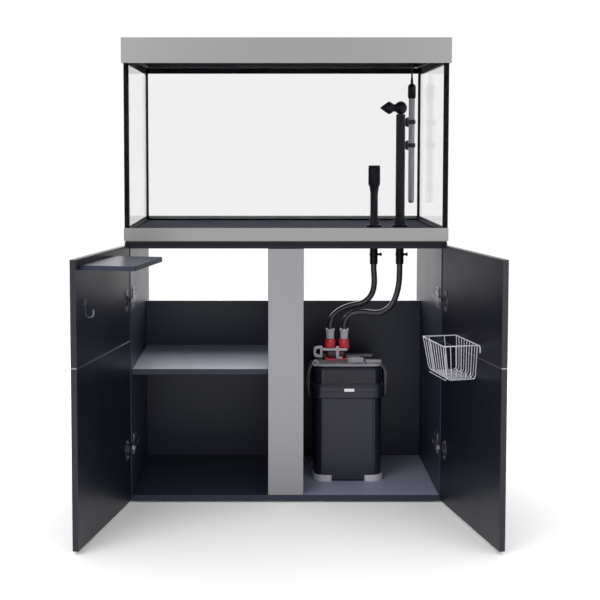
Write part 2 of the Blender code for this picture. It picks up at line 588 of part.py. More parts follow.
def build_filter(black, grey, red):
    half_x = FILTER_WIDTH / 2
    half_y = FILTER_DEPTH / 2

    def wall(spread):
        return ring_points(FILTER_X, FILTER_Y, half_x + spread, half_y + spread, FILTER_CORNER + spread / 2)

    floor = BASE_TOP + GAP
    rings = [(floor, wall(-0.004)), (floor + 0.006, wall(0)), (COLLAR_BOTTOM - 0.004, wall(0)),
             (COLLAR_BOTTOM, wall(COLLAR_SPREAD)), (COLLAR_TOP, wall(COLLAR_SPREAD)),
             (COLLAR_TOP, wall(-CANISTER_WALL)), (floor + CANISTER_WALL, wall(-CANISTER_WALL))]
    node("filter_canister", loft(rings), black)

    inset = CANISTER_WALL + MEDIA_BASKET_GAP
    floor += CANISTER_WALL + GAP
    rings = [(floor, wall(-inset)), (COLLAR_BOTTOM, wall(-inset)), (COLLAR_BOTTOM, wall(-inset - 0.002)),
             (floor + 0.002, wall(-inset - 0.002))]
    node("filter_media_basket", loft(rings), grey)

    bottom = COLLAR_TOP + GAP
    rings = [(bottom, wall(0.004)), (bottom + 0.006, wall(0.001)), (FILTER_HEAD_TOP - 0.008, wall(0)),
             (FILTER_HEAD_TOP, wall(-0.008))]
    head = node("filter_head", loft(rings), black)
    for name, side in (("filter_clamp_left", -1), ("filter_clamp_right", 1)):
        build_clamp(name, side, grey)

    x0 = VALVE_X - VALVE_WIDTH / 2
    y0 = VALVE_Y - VALVE_DEPTH / 2
    valve = node("filter_valve", box(x0, x0 + VALVE_WIDTH, y0, y0 + VALVE_DEPTH, FILTER_HEAD_TOP + GAP,
                                     VALVE_BLOCK_TOP), red)
    collar_radius, collar_top = PORT_COLLAR
    nut_radius, nut_top = PORT_NUT
    for label, x in zip(("intake", "outlet"), PORT_X):
        sunk = VALVE_BLOCK_TOP - 0.01
        profile = [(0, sunk), (collar_radius, sunk), (collar_radius, collar_top), (nut_radius, collar_top),
                   (nut_radius, nut_top), (0, nut_top)]
        fuse(valve, turned(profile, x, VALVE_Y), f"{label}_port")
    build_lever(grey, y0 - 2 * GAP)

    size_x, size_y = PRIMER_SIZE
    outline = ring_points(PRIMER_X, PRIMER_Y, size_x / 2, size_y / 2, 0.008)
    sunk = FILTER_HEAD_TOP - PRIMER_TRAVEL
    node("primer_button", prism(outline, sunk, PRIMER_TOP), grey, bevel=0.002,
         origin=(PRIMER_X, PRIMER_Y, PRIMER_TOP))
    pocket = ring_points(PRIMER_X, PRIMER_Y, size_x / 2 + 0.0008, size_y / 2 + 0.0008, 0.0088)
    cut(head, prism(pocket, sunk - PRIMER_TRAVEL - GAP, FILTER_HEAD_TOP + 0.01), "primer_well")


def build_clamp(name, side, grey):
    """A sprung band that hinges at its top and holds the head down on the collar."""
    half = FILTER_WIDTH / 2
    pivot = (FILTER_X + side * (half + CLAMP_BAND / 2 + 0.003), FILTER_HEAD_TOP - CLAMP_PIVOT_DROP)
    bulge = half + CLAMP_BULGE
    path = [(half + CLAMP_BAND / 2 + 0.003, pivot[1]), (half + 0.011, pivot[1] - 0.014),
            (bulge, COLLAR_TOP + 0.010), (bulge, COLLAR_BOTTOM + 0.006), (half + 0.0125, CLAMP_TAIL)]
    clamp = prism(ribbon([(FILTER_X + side * x, z) for x, z in path], CLAMP_BAND), 0, CLAMP_LENGTH)
    node(name, upright(clamp, FILTER_Y + CLAMP_LENGTH / 2), grey, origin=(pivot[0], FILTER_Y, pivot[1]))


def build_lever(grey, back):
    """A C-shaped handle on a flat bar, pivoted on the front of the valve."""
    x, z = LEVER_PIVOT
    band = 0.007
    path = [(x + 0.027, z), (x - 0.040, z), (x - 0.044, z + 0.009), (x - 0.068, z + 0.009),
            (x - 0.072, z + 0.005), (x - 0.072, z - 0.022), (x - 0.066, z - 0.027),
            (x - 0.046, z - 0.025)]
    lever = node("valve_lever", upright(prism(ribbon(path, band), 0, LEVER_THICKNESS), back), grey,
                 origin=(x, back, z))
    fuse(lever, upright(cylinder(0.008, x, z, 0, LEVER_THICKNESS, 24), back), "boss")


# ---------------------------------------------------------------- pipework and heater

def build_pipework(black):
    radii = {"intake": INTAKE_RADIUS, "outlet": OUTLET_RADIUS}
    tops = {"intake": STRAINER_BOTTOM - GAP, "outlet": OUTLET_TOP}
    seat = FLOOR_TOP + GAP
    under = TOP_PANEL_BOTTOM - 0.001
    for label, x in PIPE_X.items():
        profile = [(BULKHEAD_BORE, TAIL_BOTTOM), (TAIL_RADIUS, TAIL_BOTTOM), (TAIL_RADIUS, under),
                   (SHANK_RADIUS, under), (SHANK_RADIUS, seat), (FLANGE_RADIUS, seat),
                   (FLANGE_RADIUS, seat + FLANGE_THICKNESS), (BULKHEAD_BORE, seat + FLANGE_THICKNESS)]
        node(f"{label}_bulkhead", turned(profile, x, PIPE_Y, hollow=True), black)
        bottom = seat + FLANGE_THICKNESS + GAP
        inner = radii[label] - PIPE_WALL
        profile = [(inner, bottom), (radii[label], bottom), (radii[label], tops[label]),
                   (inner, tops[label])]
        node(f"{label}_pipe", turned(profile, x, PIPE_Y, hollow=True), black)

    neck = STRAINER_BOTTOM + 0.021
    profile = [(0, STRAINER_BOTTOM), (INTAKE_RADIUS + 0.001, STRAINER_BOTTOM),
               (STRAINER_RADIUS - 0.003, neck), (STRAINER_RADIUS, neck + 0.004),
               (STRAINER_RADIUS, STRAINER_TOP - 0.004), (STRAINER_RADIUS - 0.004, STRAINER_TOP),
               (0, STRAINER_TOP)]
    node("intake_strainer", turned(profile, PIPE_X["intake"], PIPE_Y), black)

    x = PIPE_X["outlet"]
    ball_z = OUTLET_TOP + GAP + BALL_RADIUS
    ball = bmesh.new()
    bmesh.ops.create_icosphere(ball, subdivisions=3, radius=BALL_RADIUS,
                               matrix=Matrix.Translation((x, PIPE_Y, ball_z)))
    nozzle = node("outlet_nozzle", ball, black, origin=(x, PIPE_Y, ball_z))
    reach = x - NOZZLE_TIP_X
    stations = [(0.008, 0.008, 0.008), (reach * 0.45, NOZZLE_WIDE, 0.012), (reach, 0.004, 0.010)]
    rings = [(distance, ring_points(0, 0, tall, deep, 0.0035, 2)) for distance, tall, deep in stations]
    bill = loft(rings)
    turn = Matrix(((0, 0, -1, x), (0, 1, 0, PIPE_Y), (1, 0, 0, ball_z), (0, 0, 0, 1)))
    bmesh.ops.transform(bill, verts=bill.verts, matrix=turn)
    fuse(nozzle, bill, "bill")


def build_heater(glass, black):
    z0, z1 = HEATER_BOTTOM, HEATER_NECK - GAP
    radius = HEATER_RADIUS
    profile = [(0, z0), (radius * 0.6, z0 + 0.001), (radius * 0.9, z0 + 0.004), (radius, z0 + 0.010),
               (radius, z1), (0, z1)]
    node("heater_tube", turned(profile, HEATER_X, HEATER_Y, 24), glass)
    profile = [(0, HEATER_NECK), (HEATER_HEAD_RADIUS, HEATER_NECK), (HEATER_HEAD_RADIUS, HEATER_TOP - 0.008),
               (HEATER_HEAD_RADIUS * 0.6, HEATER_TOP), (0, HEATER_TOP)]
    node("heater_head", turned(profile, HEATER_X, HEATER_Y, 24), black)


def build_cord(black):
    tube("heater_cord", CORD_ROUTE, CORD_RADIUS, 0.0195, black)
    x, y = COIL_CENTRE
    inner = COIL_RADIUS - CORD_RADIUS
    outer = COIL_RADIUS + CORD_RADIUS
    profile = [(inner, 0), (outer, 0), (outer, COIL_HEIGHT), (inner, COIL_HEIGHT)]
    node("heater_coil", turned(profile, x, y, 40, hollow=True), black)
    long, wide, tall = PLUG_SIZE
    plug_x = x - PLUG_FROM_COIL
    plug_y = y - COIL_RADIUS
    outline = ring_points(plug_x, plug_y, long / 2, wide / 2, 0.004, 2)
    plug = node("heater_plug", prism(outline, 0, tall), black)
    edge_y = COIL_RADIUS - PLUG_NECK_RADIUS
    neck_end = x - math.sqrt(outer ** 2 - edge_y ** 2) - GAP
    neck = cylinder(PLUG_NECK_RADIUS, 0, 0, plug_x, neck_end, 16)
    turn = Matrix(((0, 0, 1, 0), (0, 1, 0, plug_y), (-1, 0, 0, PLUG_NECK_HEIGHT), (0, 0, 0, 1)))
    bmesh.ops.transform(neck, verts=neck.verts, matrix=turn)
    fuse(plug, neck, "neck")
    back = plug_x - long / 2
    for label, offset in (("near", -0.0095), ("far", 0.0095)):
        pin = box(back - PIN_LENGTH, back + 0.002, plug_y + offset - 0.002, plug_y + offset + 0.002,
                  tall / 2 - 0.002, tall / 2 + 0.002)
        fuse(plug, pin, f"{label}_pin")


# ---------------------------------------------------------------- assembly

def centre_on_origin():
    """The footprint, open doors included, is centred on the origin; the runners stand on Z = 0."""
    turn = math.radians(DOOR_OPEN)
    front = PIVOT_Y - math.sin(turn) * (DOOR_WIDTH - PIVOT_INSET) + math.cos(turn) * PANEL / 2
    shift = -(front + HOOD_BACK) / 2
    for obj in bpy.data.objects:
        if obj.parent is None:
            obj.location.y += shift


def main():
    clear_scene()
    board = material("dark_board", (0.014, 0.016, 0.030), 0.3)
    brushed = material("brushed_aluminium", (0.50, 0.50, 0.51), 0.35, metallic=1.0)
    chrome = material("chrome", (0.75, 0.75, 0.76), 0.15, metallic=1.0)
    coated = material("coated_wire", (0.60, 0.60, 0.66), 0.4)
    glass = material("clear_glass", (0.95, 0.97, 0.97), 0.02, transmission=1.0)
    rubber = material("black_rubber", (0.02, 0.02, 0.022), 0.8)
    black = material("black_plastic", (0.022, 0.022, 0.028), 0.4)
    grey = material("grey_plastic", (0.30, 0.30, 0.33), 0.4)
    red = material("red_plastic", (0.55, 0.03, 0.04), 0.4)
    white = material("white_plastic", (0.80, 0.80, 0.80), 0.4)

    build_cabinet(board, brushed, rubber)
    left = build_door(-1, "left", board, brushed, chrome)
    right = build_door(1, "right", board, brushed, chrome)
    build_door_fittings(left, right, board, chrome, coated)
    build_tank(brushed, glass, rubber, black)
    build_hood(brushed, black, white)
    build_filter(black, grey, red)
    build_pipework(black)
    tube("intake_hose", INTAKE_ROUTE, HOSE_RADIUS, 0.030, black)
    tube("outlet_hose", OUTLET_ROUTE, HOSE_RADIUS, 0.030, black)
    build_heater(glass, black)
    build_cord(black)
    centre_on_origin()


main()
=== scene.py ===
import json
import math

import bmesh
import bpy
from mathutils import Matrix, Vector


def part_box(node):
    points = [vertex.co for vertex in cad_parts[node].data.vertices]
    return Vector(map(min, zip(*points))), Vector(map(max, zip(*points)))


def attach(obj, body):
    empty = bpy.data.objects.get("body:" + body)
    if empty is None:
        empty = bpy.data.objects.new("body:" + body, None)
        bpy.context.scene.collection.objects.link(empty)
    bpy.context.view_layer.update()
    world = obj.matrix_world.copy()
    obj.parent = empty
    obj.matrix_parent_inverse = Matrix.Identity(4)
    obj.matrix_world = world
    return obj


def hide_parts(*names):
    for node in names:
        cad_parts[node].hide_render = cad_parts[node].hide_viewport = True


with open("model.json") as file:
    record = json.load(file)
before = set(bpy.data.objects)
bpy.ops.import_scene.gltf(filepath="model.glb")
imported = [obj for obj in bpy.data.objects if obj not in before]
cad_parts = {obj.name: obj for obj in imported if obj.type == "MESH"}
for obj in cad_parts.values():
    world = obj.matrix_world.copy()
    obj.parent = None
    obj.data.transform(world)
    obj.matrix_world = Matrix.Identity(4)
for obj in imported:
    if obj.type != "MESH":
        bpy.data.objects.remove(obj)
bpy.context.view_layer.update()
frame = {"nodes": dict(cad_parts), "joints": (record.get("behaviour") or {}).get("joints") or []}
nodes = frame["nodes"]
joints = {joint["name"]: joint for joint in frame["joints"]}
base = "cabinet_and_tank"
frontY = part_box("base_panel")[0].y   # the cabinet's front plane
print("frame loaded:", len(nodes), "nodes")


# camera, light and floor

view = {"x": -0.0624, "ahead": 3.0836, "height": 1.0333, "lens": 65.11, "pitch": 3.435,
        "shiftX": 0.0598, "shiftY": -0.150}
# each light: place with its depth measured from the front plane, aim, power and size
lights = {"keyLight": ((-2.2, -2.6, 2.9), (0.0, 0.0, 0.7), 60, 2.6),
          "fillLight": ((2.4, -2.4, 1.6), (0.0, 0.0, 0.6), 25, 3.0),
          "rearLight": ((0.0, 1.961, 1.35), (0.0, 0.1, 0.3), 30, 1.4)}
floor = {"size": 60, "colour": (1.0, 1.0, 1.0), "rough": 0.7, "specular": 0.2}
farthest = 200


def placeCamera():
    cam = bpy.data.cameras.new("camera")
    cam.lens = view["lens"]
    cam.shift_x = view["shiftX"]
    cam.shift_y = view["shiftY"]
    cam.clip_end = farthest
    obj = bpy.data.objects.new("camera", cam)
    obj.location = (view["x"], frontY - view["ahead"], view["height"])
    obj.rotation_euler = (math.radians(90 - view["pitch"]), 0, 0)
    bpy.context.scene.collection.objects.link(obj)
    bpy.context.scene.camera = obj


def areaLight(name, place, aim, power, size):
    lamp = bpy.data.lights.new(name, "AREA")
    lamp.energy = power
    lamp.size = size
    obj = bpy.data.objects.new(name, lamp)
    obj.location = (place[0], frontY + place[1], place[2])
    obj.rotation_euler = (Vector(aim) - obj.location).to_track_quat("-Z", "Y").to_euler()
    bpy.context.scene.collection.objects.link(obj)
    return obj


def buildWorld():
    world = bpy.data.worlds.new("studioWorld")
    world.use_nodes = True
    background = world.node_tree.nodes["Background"]
    background.inputs["Color"].default_value = (1, 1, 1, 1)
    background.inputs["Strength"].default_value = 1.0
    bpy.context.scene.world = world
    bpy.context.scene.view_settings.view_transform = "Standard"


def buildFloor():
    bm = bmesh.new()
    bmesh.ops.create_grid(bm, x_segments=1, y_segments=1, size=floor["size"] / 2)
    mesh = bpy.data.meshes.new("studioFloor")
    bm.to_mesh(mesh)
    bm.free()
    mat = bpy.data.materials.new("paleFloor")
    mat.use_nodes = True
    shader = mat.node_tree.nodes["Principled BSDF"]
    shader.inputs["Base Color"].default_value = (*floor["colour"], 1)
    shader.inputs["Roughness"].default_value = floor["rough"]
    shader.inputs["Specular IOR Level"].default_value = floor["specular"]
    mesh.materials.append(mat)
    ground = bpy.data.objects.new("studioFloor", mesh)
    bpy.context.scene.collection.objects.link(ground)


placeCamera()
buildWorld()
for lightName, lightFacts in lights.items():
    areaLight(lightName, *lightFacts)
# the rear light only brightens the shelf and the base, so it stays out of sight
bpy.data.objects["rearLight"].visible_camera = False
bpy.data.objects["rearLight"].visible_transmission = False
buildFloor()
print("camera and studio ready")


# shader node groups

def newGroup(name, inputs, outputs):
    group = bpy.data.node_groups.new(name, "ShaderNodeTree")
    for label, kind, value in inputs:
        socket = group.interface.new_socket(label, in_out="INPUT", socket_type=kind)
        socket.default_value = value
    for label, kind in outputs:
        group.interface.new_socket(label, in_out="OUTPUT", socket_type=kind)
    return group, group.nodes.new("NodeGroupInput"), group.nodes.new("NodeGroupOutput")


def link(tree, start, end):
    tree.links.new(start, end)


def mathNode(tree, operation, first, second):
    node = tree.nodes.new("ShaderNodeMath")
    node.operation = operation
    for socket, value in zip(node.inputs, (first, second)):
        if isinstance(value, (int, float)):
            socket.default_value = value
        else:
            link(tree, value, socket)
    return node.outputs[0]


def noiseNode(tree, vector, scale, detail=3.0, rough=0.5):
    node = tree.nodes.new("ShaderNodeTexNoise")
    node.inputs["Detail"].default_value = detail
    node.inputs["Roughness"].default_value = rough
    link(tree, vector, node.inputs["Vector"])
    if isinstance(scale, (int, float)):
        node.inputs["Scale"].default_value = scale
    else:
        link(tree, scale, node.inputs["Scale"])
    return node.outputs["Fac"]


def makeSurfaceGroup():
    # fine moulded or pressed grain, slow mottling and a little settled dust
    group, given, result = newGroup(
        "surfaceDetail",
        [("Grain Scale", "NodeSocketFloat", 900.0), ("Mottle Scale", "NodeSocketFloat", 6.0)],
        [("Grain", "NodeSocketFloat"), ("Mottle", "NodeSocketFloat"), ("Dust", "NodeSocketFloat")])
    place = group.nodes.new("ShaderNodeTexCoord").outputs["Object"]
    grain = noiseNode(group, place, given.outputs["Grain Scale"], 2.0, 0.6)
    mottle = noiseNode(group, place, given.outputs["Mottle Scale"], 4.0, 0.55)
    specks = noiseNode(group, place, 160.0, 5.0, 0.7)
    normal = group.nodes.new("ShaderNodeSeparateXYZ")
    link(group, group.nodes.new("ShaderNodeNewGeometry").outputs["Normal"], normal.inputs[0])
    facingUp = mathNode(group, "POWER", mathNode(group, "MAXIMUM", normal.outputs["Z"], 0.0), 3.0)
    dust = mathNode(group, "MULTIPLY", facingUp, mathNode(group, "MULTIPLY", specks, mottle))
    link(group, grain, result.inputs["Grain"])
    link(group, mottle, result.inputs["Mottle"])
    link(group, dust, result.inputs["Dust"])
    return group


def makeWearGroup():
    # lighter, rubbed edges
    group, given, result = newGroup("edgeWear", [("Width", "NodeSocketFloat", 0.0012)],
                                    [("Edge", "NodeSocketFloat")])
    bevel = group.nodes.new("ShaderNodeBevel")
    bevel.samples = 4
    link(group, given.outputs["Width"], bevel.inputs["Radius"])
    dot = group.nodes.new("ShaderNodeVectorMath")
    dot.operation = "DOT_PRODUCT"
    link(group, bevel.outputs[0], dot.inputs[0])
    link(group, group.nodes.new("ShaderNodeNewGeometry").outputs["True Normal"], dot.inputs[1])
    ramp = group.nodes.new("ShaderNodeMapRange")
    ramp.inputs["From Min"].default_value = 0.99
    ramp.inputs["From Max"].default_value = 0.80
    link(group, dot.outputs["Value"], ramp.inputs["Value"])
    place = group.nodes.new("ShaderNodeTexCoord").outputs["Object"]
    patchy = mathNode(group, "ADD", noiseNode(group, place, 45.0), 0.35)
    link(group, mathNode(group, "MULTIPLY", ramp.outputs["Result"], patchy), result.inputs["Edge"])
    return group


def makeBrushGroup():
    # long fine scratches: Stretch is small along the brushing and large across it
    group, given, result = newGroup(
        "brushLines", [("Stretch", "NodeSocketVector", (1.0, 300.0, 300.0))],
        [("Lines", "NodeSocketFloat"), ("Bands", "NodeSocketFloat")])
    place = group.nodes.new("ShaderNodeTexCoord").outputs["Object"]
    mapping = group.nodes.new("ShaderNodeMapping")
    link(group, place, mapping.inputs["Vector"])
    link(group, given.outputs["Stretch"], mapping.inputs["Scale"])
    fine = noiseNode(group, mapping.outputs[0], 4.0, 6.0, 0.75)
    broad = noiseNode(group, mapping.outputs[0], 0.35, 3.0, 0.6)
    link(group, fine, result.inputs["Lines"])
    link(group, broad, result.inputs["Bands"])
    return group


surfaceDetail = makeSurfaceGroup()
edgeWear = makeWearGroup()
brushLines = makeBrushGroup()


# materials

dustColour = (0.5, 0.5, 0.5)
brushSpread = 0.22
brushDepth = 0.00002


def placeGroup(tree, group, label, value):
    node = tree.nodes.new("ShaderNodeGroup")
    node.node_tree = group
    node.inputs[label].default_value = value
    return node


def mixColour(tree, share, first, second):
    node = tree.nodes.new("ShaderNodeMix")
    node.data_type = "RGBA"
    link(tree, share, node.inputs["Factor"])
    for socket, value in ((node.inputs[6], first), (node.inputs[7], second)):
        if isinstance(value, tuple):
            socket.default_value = (*value, 1.0)
        else:
            link(tree, value, socket)
    return node.outputs[2]


def bump(tree, height, distance):
    node = tree.nodes.new("ShaderNodeBump")
    node.inputs["Distance"].default_value = distance
    link(tree, height, node.inputs["Height"])
    return node.outputs["Normal"]


def startMaterial(name):
    mat = bpy.data.materials.new(name)
    mat.use_nodes = True
    tree = mat.node_tree
    return mat, tree, tree.nodes["Principled BSDF"]


def shade(colour, factor, lift=0.0):
    return tuple(min(1.0, channel * factor + lift) for channel in colour)


def moulded(name, colour, rough, metallic=0.0, grainScale=900.0, grainDepth=0.00003,
            mottle=0.35, roughSpread=0.08, wear=0.25, dust=0.05, specular=0.5, coat=0.0):
    # one recipe for boards, plastics, rubber and plated metal, each with its own values
    mat, tree, shader = startMaterial(name)
    detail = placeGroup(tree, surfaceDetail, "Grain Scale", grainScale)
    edge = placeGroup(tree, edgeWear, "Width", 0.0012)
    share = mathNode(tree, "MULTIPLY", detail.outputs["Mottle"], mottle)
    tone = mixColour(tree, share, colour, shade(colour, 1.5, 0.004))
    share = mathNode(tree, "MULTIPLY", edge.outputs["Edge"], wear)
    tone = mixColour(tree, share, tone, shade(colour, 2.0, 0.03))
    share = mathNode(tree, "MULTIPLY", detail.outputs["Dust"], dust)
    tone = mixColour(tree, share, tone, dustColour)
    link(tree, tone, shader.inputs["Base Color"])
    spread = mathNode(tree, "MULTIPLY", mathNode(tree, "SUBTRACT", detail.outputs["Mottle"], 0.5),
                      roughSpread * 2)
    link(tree, mathNode(tree, "ADD", spread, rough), shader.inputs["Roughness"])
    link(tree, bump(tree, detail.outputs["Grain"], grainDepth), shader.inputs["Normal"])
    shader.inputs["Metallic"].default_value = metallic
    shader.inputs["Specular IOR Level"].default_value = specular
    shader.inputs["Coat Weight"].default_value = coat
    return mat


def brushedMetal(name, colour, rough, stretch):
    mat, tree, shader = startMaterial(name)
    lines = placeGroup(tree, brushLines, "Stretch", stretch)
    edge = placeGroup(tree, edgeWear, "Width", 0.001)
    tone = mixColour(tree, lines.outputs["Lines"], shade(colour, 0.80), shade(colour, 1.12))
    share = mathNode(tree, "MULTIPLY", lines.outputs["Bands"], 0.30)
    tone = mixColour(tree, share, tone, shade(colour, 0.85))
    share = mathNode(tree, "MULTIPLY", edge.outputs["Edge"], 0.5)
    tone = mixColour(tree, share, tone, shade(colour, 1.3))
    link(tree, tone, shader.inputs["Base Color"])
    spread = mathNode(tree, "MULTIPLY", lines.outputs["Lines"], brushSpread)
    link(tree, mathNode(tree, "ADD", spread, rough - brushSpread / 2), shader.inputs["Roughness"])
    link(tree, bump(tree, lines.outputs["Lines"], brushDepth), shader.inputs["Normal"])
    shader.inputs["Metallic"].default_value = 1.0
    return mat


def clearGlass(name, tint, refraction):
    mat, _, shader = startMaterial(name)
    shader.inputs["Base Color"].default_value = (*tint, 1.0)
    shader.inputs["Transmission Weight"].default_value = 1.0
    shader.inputs["Roughness"].default_value = 0.0
    shader.inputs["IOR"].default_value = refraction
    return mat


# what the boards have in common
boardFace = {"grainScale": 1400, "grainDepth": 0.000012, "wear": 0.10, "dust": 0.03}

finishes = {
    "board": moulded("darkBoard", (0.0036, 0.0046, 0.0100), 0.36, mottle=0.3, specular=0.42,
                     **boardFace),
    "carcass": moulded("carcassBoard", (0.0125, 0.0160, 0.0330), 0.38, mottle=0.3, specular=0.35,
                       **boardFace),
    # pale colour for thin sheets that paint light onto the shelf top and the base's right part
    "sheet": moulded("paintedLightSheet", (0.230, 0.245, 0.330), 0.42, grainScale=900, grainDepth=0.00002,
                     mottle=0.15, wear=0.0, dust=0.02),
    "fascia": brushedMetal("brushedFascia", (0.310, 0.312, 0.334), 0.36, (400.0, 400.0, 1.2)),
    "trim": brushedMetal("brushedTrim", (0.328, 0.328, 0.330), 0.36, (1.2, 400.0, 400.0)),
    "glass": clearGlass("tankGlass", (0.930, 0.935, 0.932), 1.04),
    "silicone": moulded("blackSilicone", (0.003, 0.003, 0.005), 0.45, grainScale=300, wear=0.0, dust=0.0,
                         specular=0.1),
    "rubber": moulded("blackRubber", (0.012, 0.012, 0.014), 0.75, grainScale=500, dust=0.2),
    "plastic": moulded("blackPlastic", (0.0035, 0.0042, 0.0090), 0.36, grainScale=1100,
                       grainDepth=0.00004, wear=0.10, dust=0.01, specular=0.16),
    "filterBody": moulded("filterPlastic", (0.0070, 0.0085, 0.0200), 0.36, grainScale=1300,
                          grainDepth=0.00004, wear=0.4),
    "hose": moulded("hoseRubber", (0.020, 0.020, 0.026), 0.30, grainScale=300, grainDepth=0.00002, wear=0.0),
    "grey": moulded("greyPlastic", (0.22, 0.22, 0.25), 0.34, grainScale=1000, mottle=0.2),
    "nutGrey": moulded("paleGreyPlastic", (0.40, 0.40, 0.44), 0.30, grainScale=1000, mottle=0.2),
    "red": moulded("redPlastic", (0.62, 0.035, 0.055), 0.28, grainScale=1000, mottle=0.2, wear=0.2),
    "darkRed": moulded("darkRedPlastic", (0.055, 0.006, 0.009), 0.35, grainScale=1000, mottle=0.3),
    "chrome": moulded("platedSteel", (0.44, 0.44, 0.47), 0.22, metallic=1.0, grainScale=200,
                      grainDepth=0.00001, mottle=0.2, roughSpread=0.05, wear=0.1, dust=0.0),
    "coated": moulded("coatedWire", (0.50, 0.50, 0.56), 0.35, grainScale=600, mottle=0.15, wear=0.1),
    "white": moulded("whiteDiffuser", (0.78, 0.79, 0.80), 0.45, grainScale=700, mottle=0.1),
    "label": moulded("blankLabel", (0.80, 0.80, 0.80), 0.50, grainScale=400, mottle=0.1, wear=0.0),
    "heater": moulded("heaterTubeGlass", (0.150, 0.155, 0.180), 0.12, grainScale=120, grainDepth=0.000005,
                      mottle=0.5, wear=0.0, dust=0.0, coat=0.6),
    "footGrey": moulded("greyRubber", (0.40, 0.40, 0.43), 0.55, grainScale=600, mottle=0.3, dust=0.1),
    "clampGrey": moulded("clampPlastic", (0.075, 0.075, 0.090), 0.34, grainScale=1000, mottle=0.2),
    "ribs": moulded("ribbedPlastic", (0.035, 0.036, 0.046), 0.40, grainScale=1200, mottle=0.2),
    "floor": moulded("tankFloor", (0.011, 0.014, 0.040), 0.60, grainScale=500, wear=0.0, dust=0.0,
                     specular=0.05),
    "lining": moulded("hoodLining", (0.004, 0.0045, 0.0110), 0.55, grainScale=400, wear=0.0, dust=0.0),
    "topBoard": moulded("topBoard", (0.012, 0.012, 0.019), 0.45, specular=0.15, **boardFace),
    "hingeSteel": moulded("hingeSteel", (0.20, 0.20, 0.22), 0.38, metallic=1.0, grainScale=200),
    "hookSteel": moulded("darkSteel", (0.16, 0.17, 0.21), 0.28, metallic=1.0, grainScale=200),
}
print("materials ready:", len(finishes))


# shape helpers

tiny = 0.000001
weld = 0.00001
touch = 0.0002   # what pieces that rest on each other keep between them


def block(bm, low, high, bevel=0.0, segments=2):
    low, high = Vector(low), Vector(high)
    place = Matrix.Translation((low + high) / 2) @ Matrix.Diagonal((*(high - low), 1.0))
    made = bmesh.ops.create_cube(bm, size=1.0, matrix=place)
    if bevel:
        edges = {edge for vert in made["verts"] for edge in vert.link_edges}
        bmesh.ops.bevel(bm, geom=list(edges), offset=bevel, affect="EDGES", segments=segments,
                        profile=0.5, material=-1, clamp_overlap=True)


def moved(x, y, z):
    return Matrix.Translation((x, y, z))


def turn(bm, profile, place, steps=40, closed=False):
    # the profile is (radius, height), and an open one starts and ends on the axis
    part = bmesh.new()
    verts = [part.verts.new((radius, 0.0, height)) for radius, height in profile]
    edges = [part.edges.new(pair) for pair in zip(verts, verts[1:])]
    if closed:
        edges.append(part.edges.new((verts[-1], verts[0])))
    bmesh.ops.spin(part, geom=verts + edges, axis=(0, 0, 1), cent=(0, 0, 0), angle=math.tau,
                   steps=steps, use_merge=True)
    bmesh.ops.remove_doubles(part, verts=part.verts, dist=weld)
    bmesh.ops.recalc_face_normals(part, faces=part.faces)
    bmesh.ops.transform(part, verts=part.verts, matrix=place)
    addTo(bm, part)


def addTo(bm, part):
    mesh = bpy.data.meshes.new("partial")
    part.to_mesh(mesh)
    part.free()
    bm.from_mesh(mesh)
    bpy.data.meshes.remove(mesh)


def roundedOutline(width, depth, radius, steps=6):
    points = []
    for signX, signY, start in ((1, 1, 0), (-1, 1, 90), (-1, -1, 180), (1, -1, 270)):
        for step in range(steps + 1):
            angle = math.radians(start + 90 * step / steps)
            points.append((signX * (width / 2 - radius) + radius * math.cos(angle),
                           signY * (depth / 2 - radius) + radius * math.sin(angle)))
    return points


def plate(bm, outline, thick, place, bevel, segments=2):
    # an outline on XY, extruded up and with its rims bevelled
    part = bmesh.new()
    face = part.faces.new([part.verts.new((x, y, 0.0)) for x, y in outline])
    grown = bmesh.ops.extrude_face_region(part, geom=[face])
    top = [item for item in grown["geom"] if isinstance(item, bmesh.types.BMVert)]
    bmesh.ops.translate(part, verts=top, vec=(0, 0, thick))
    bmesh.ops.recalc_face_normals(part, faces=part.faces)
    rims = [edge for edge in part.edges if abs(edge.verts[0].co.z - edge.verts[1].co.z) < tiny]
    bmesh.ops.bevel(part, geom=rims, offset=bevel, affect="EDGES", segments=segments, profile=0.5,
                    material=-1, clamp_overlap=True)
    bmesh.ops.transform(part, verts=part.verts, matrix=place)
    addTo(bm, part)


def newPiece(name, data, finish, body):
    data.materials.append(finishes[finish])
    obj = bpy.data.objects.new(name, data)
    bpy.context.scene.collection.objects.link(obj)
    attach(obj, body)
    return obj


def finishPiece(name, bm, finish, body, replaces=(), sharp=35):
    bmesh.ops.recalc_face_normals(bm, faces=bm.faces)
    mesh = bpy.data.meshes.new(name)
    bm.to_mesh(mesh)
    bm.free()
    mesh.shade_smooth()
    mesh.set_sharp_from_angle(angle=math.radians(sharp))
    obj = newPiece(name, mesh, finish, body)
    if replaces:
        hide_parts(*replaces)
    return obj


def tubePiece(name, routes, radius, finish, body, cyclic=False, sides=4):
    # one curve object with a round section and a spline for each route
    curve = bpy.data.curves.new(name, "CURVE")
    curve.dimensions = "3D"
    curve.bevel_depth = radius
    curve.bevel_resolution = sides
    curve.use_fill_caps = True
    for route in routes:
        spline = curve.splines.new("POLY")
        spline.points.add(len(route) - 1)
        for point, place in zip(spline.points, route):
            point.co = (*place, 1.0)
        spline.use_cyclic_u = cyclic
        spline.use_smooth = True
    return newPiece(name, curve, finish, body)


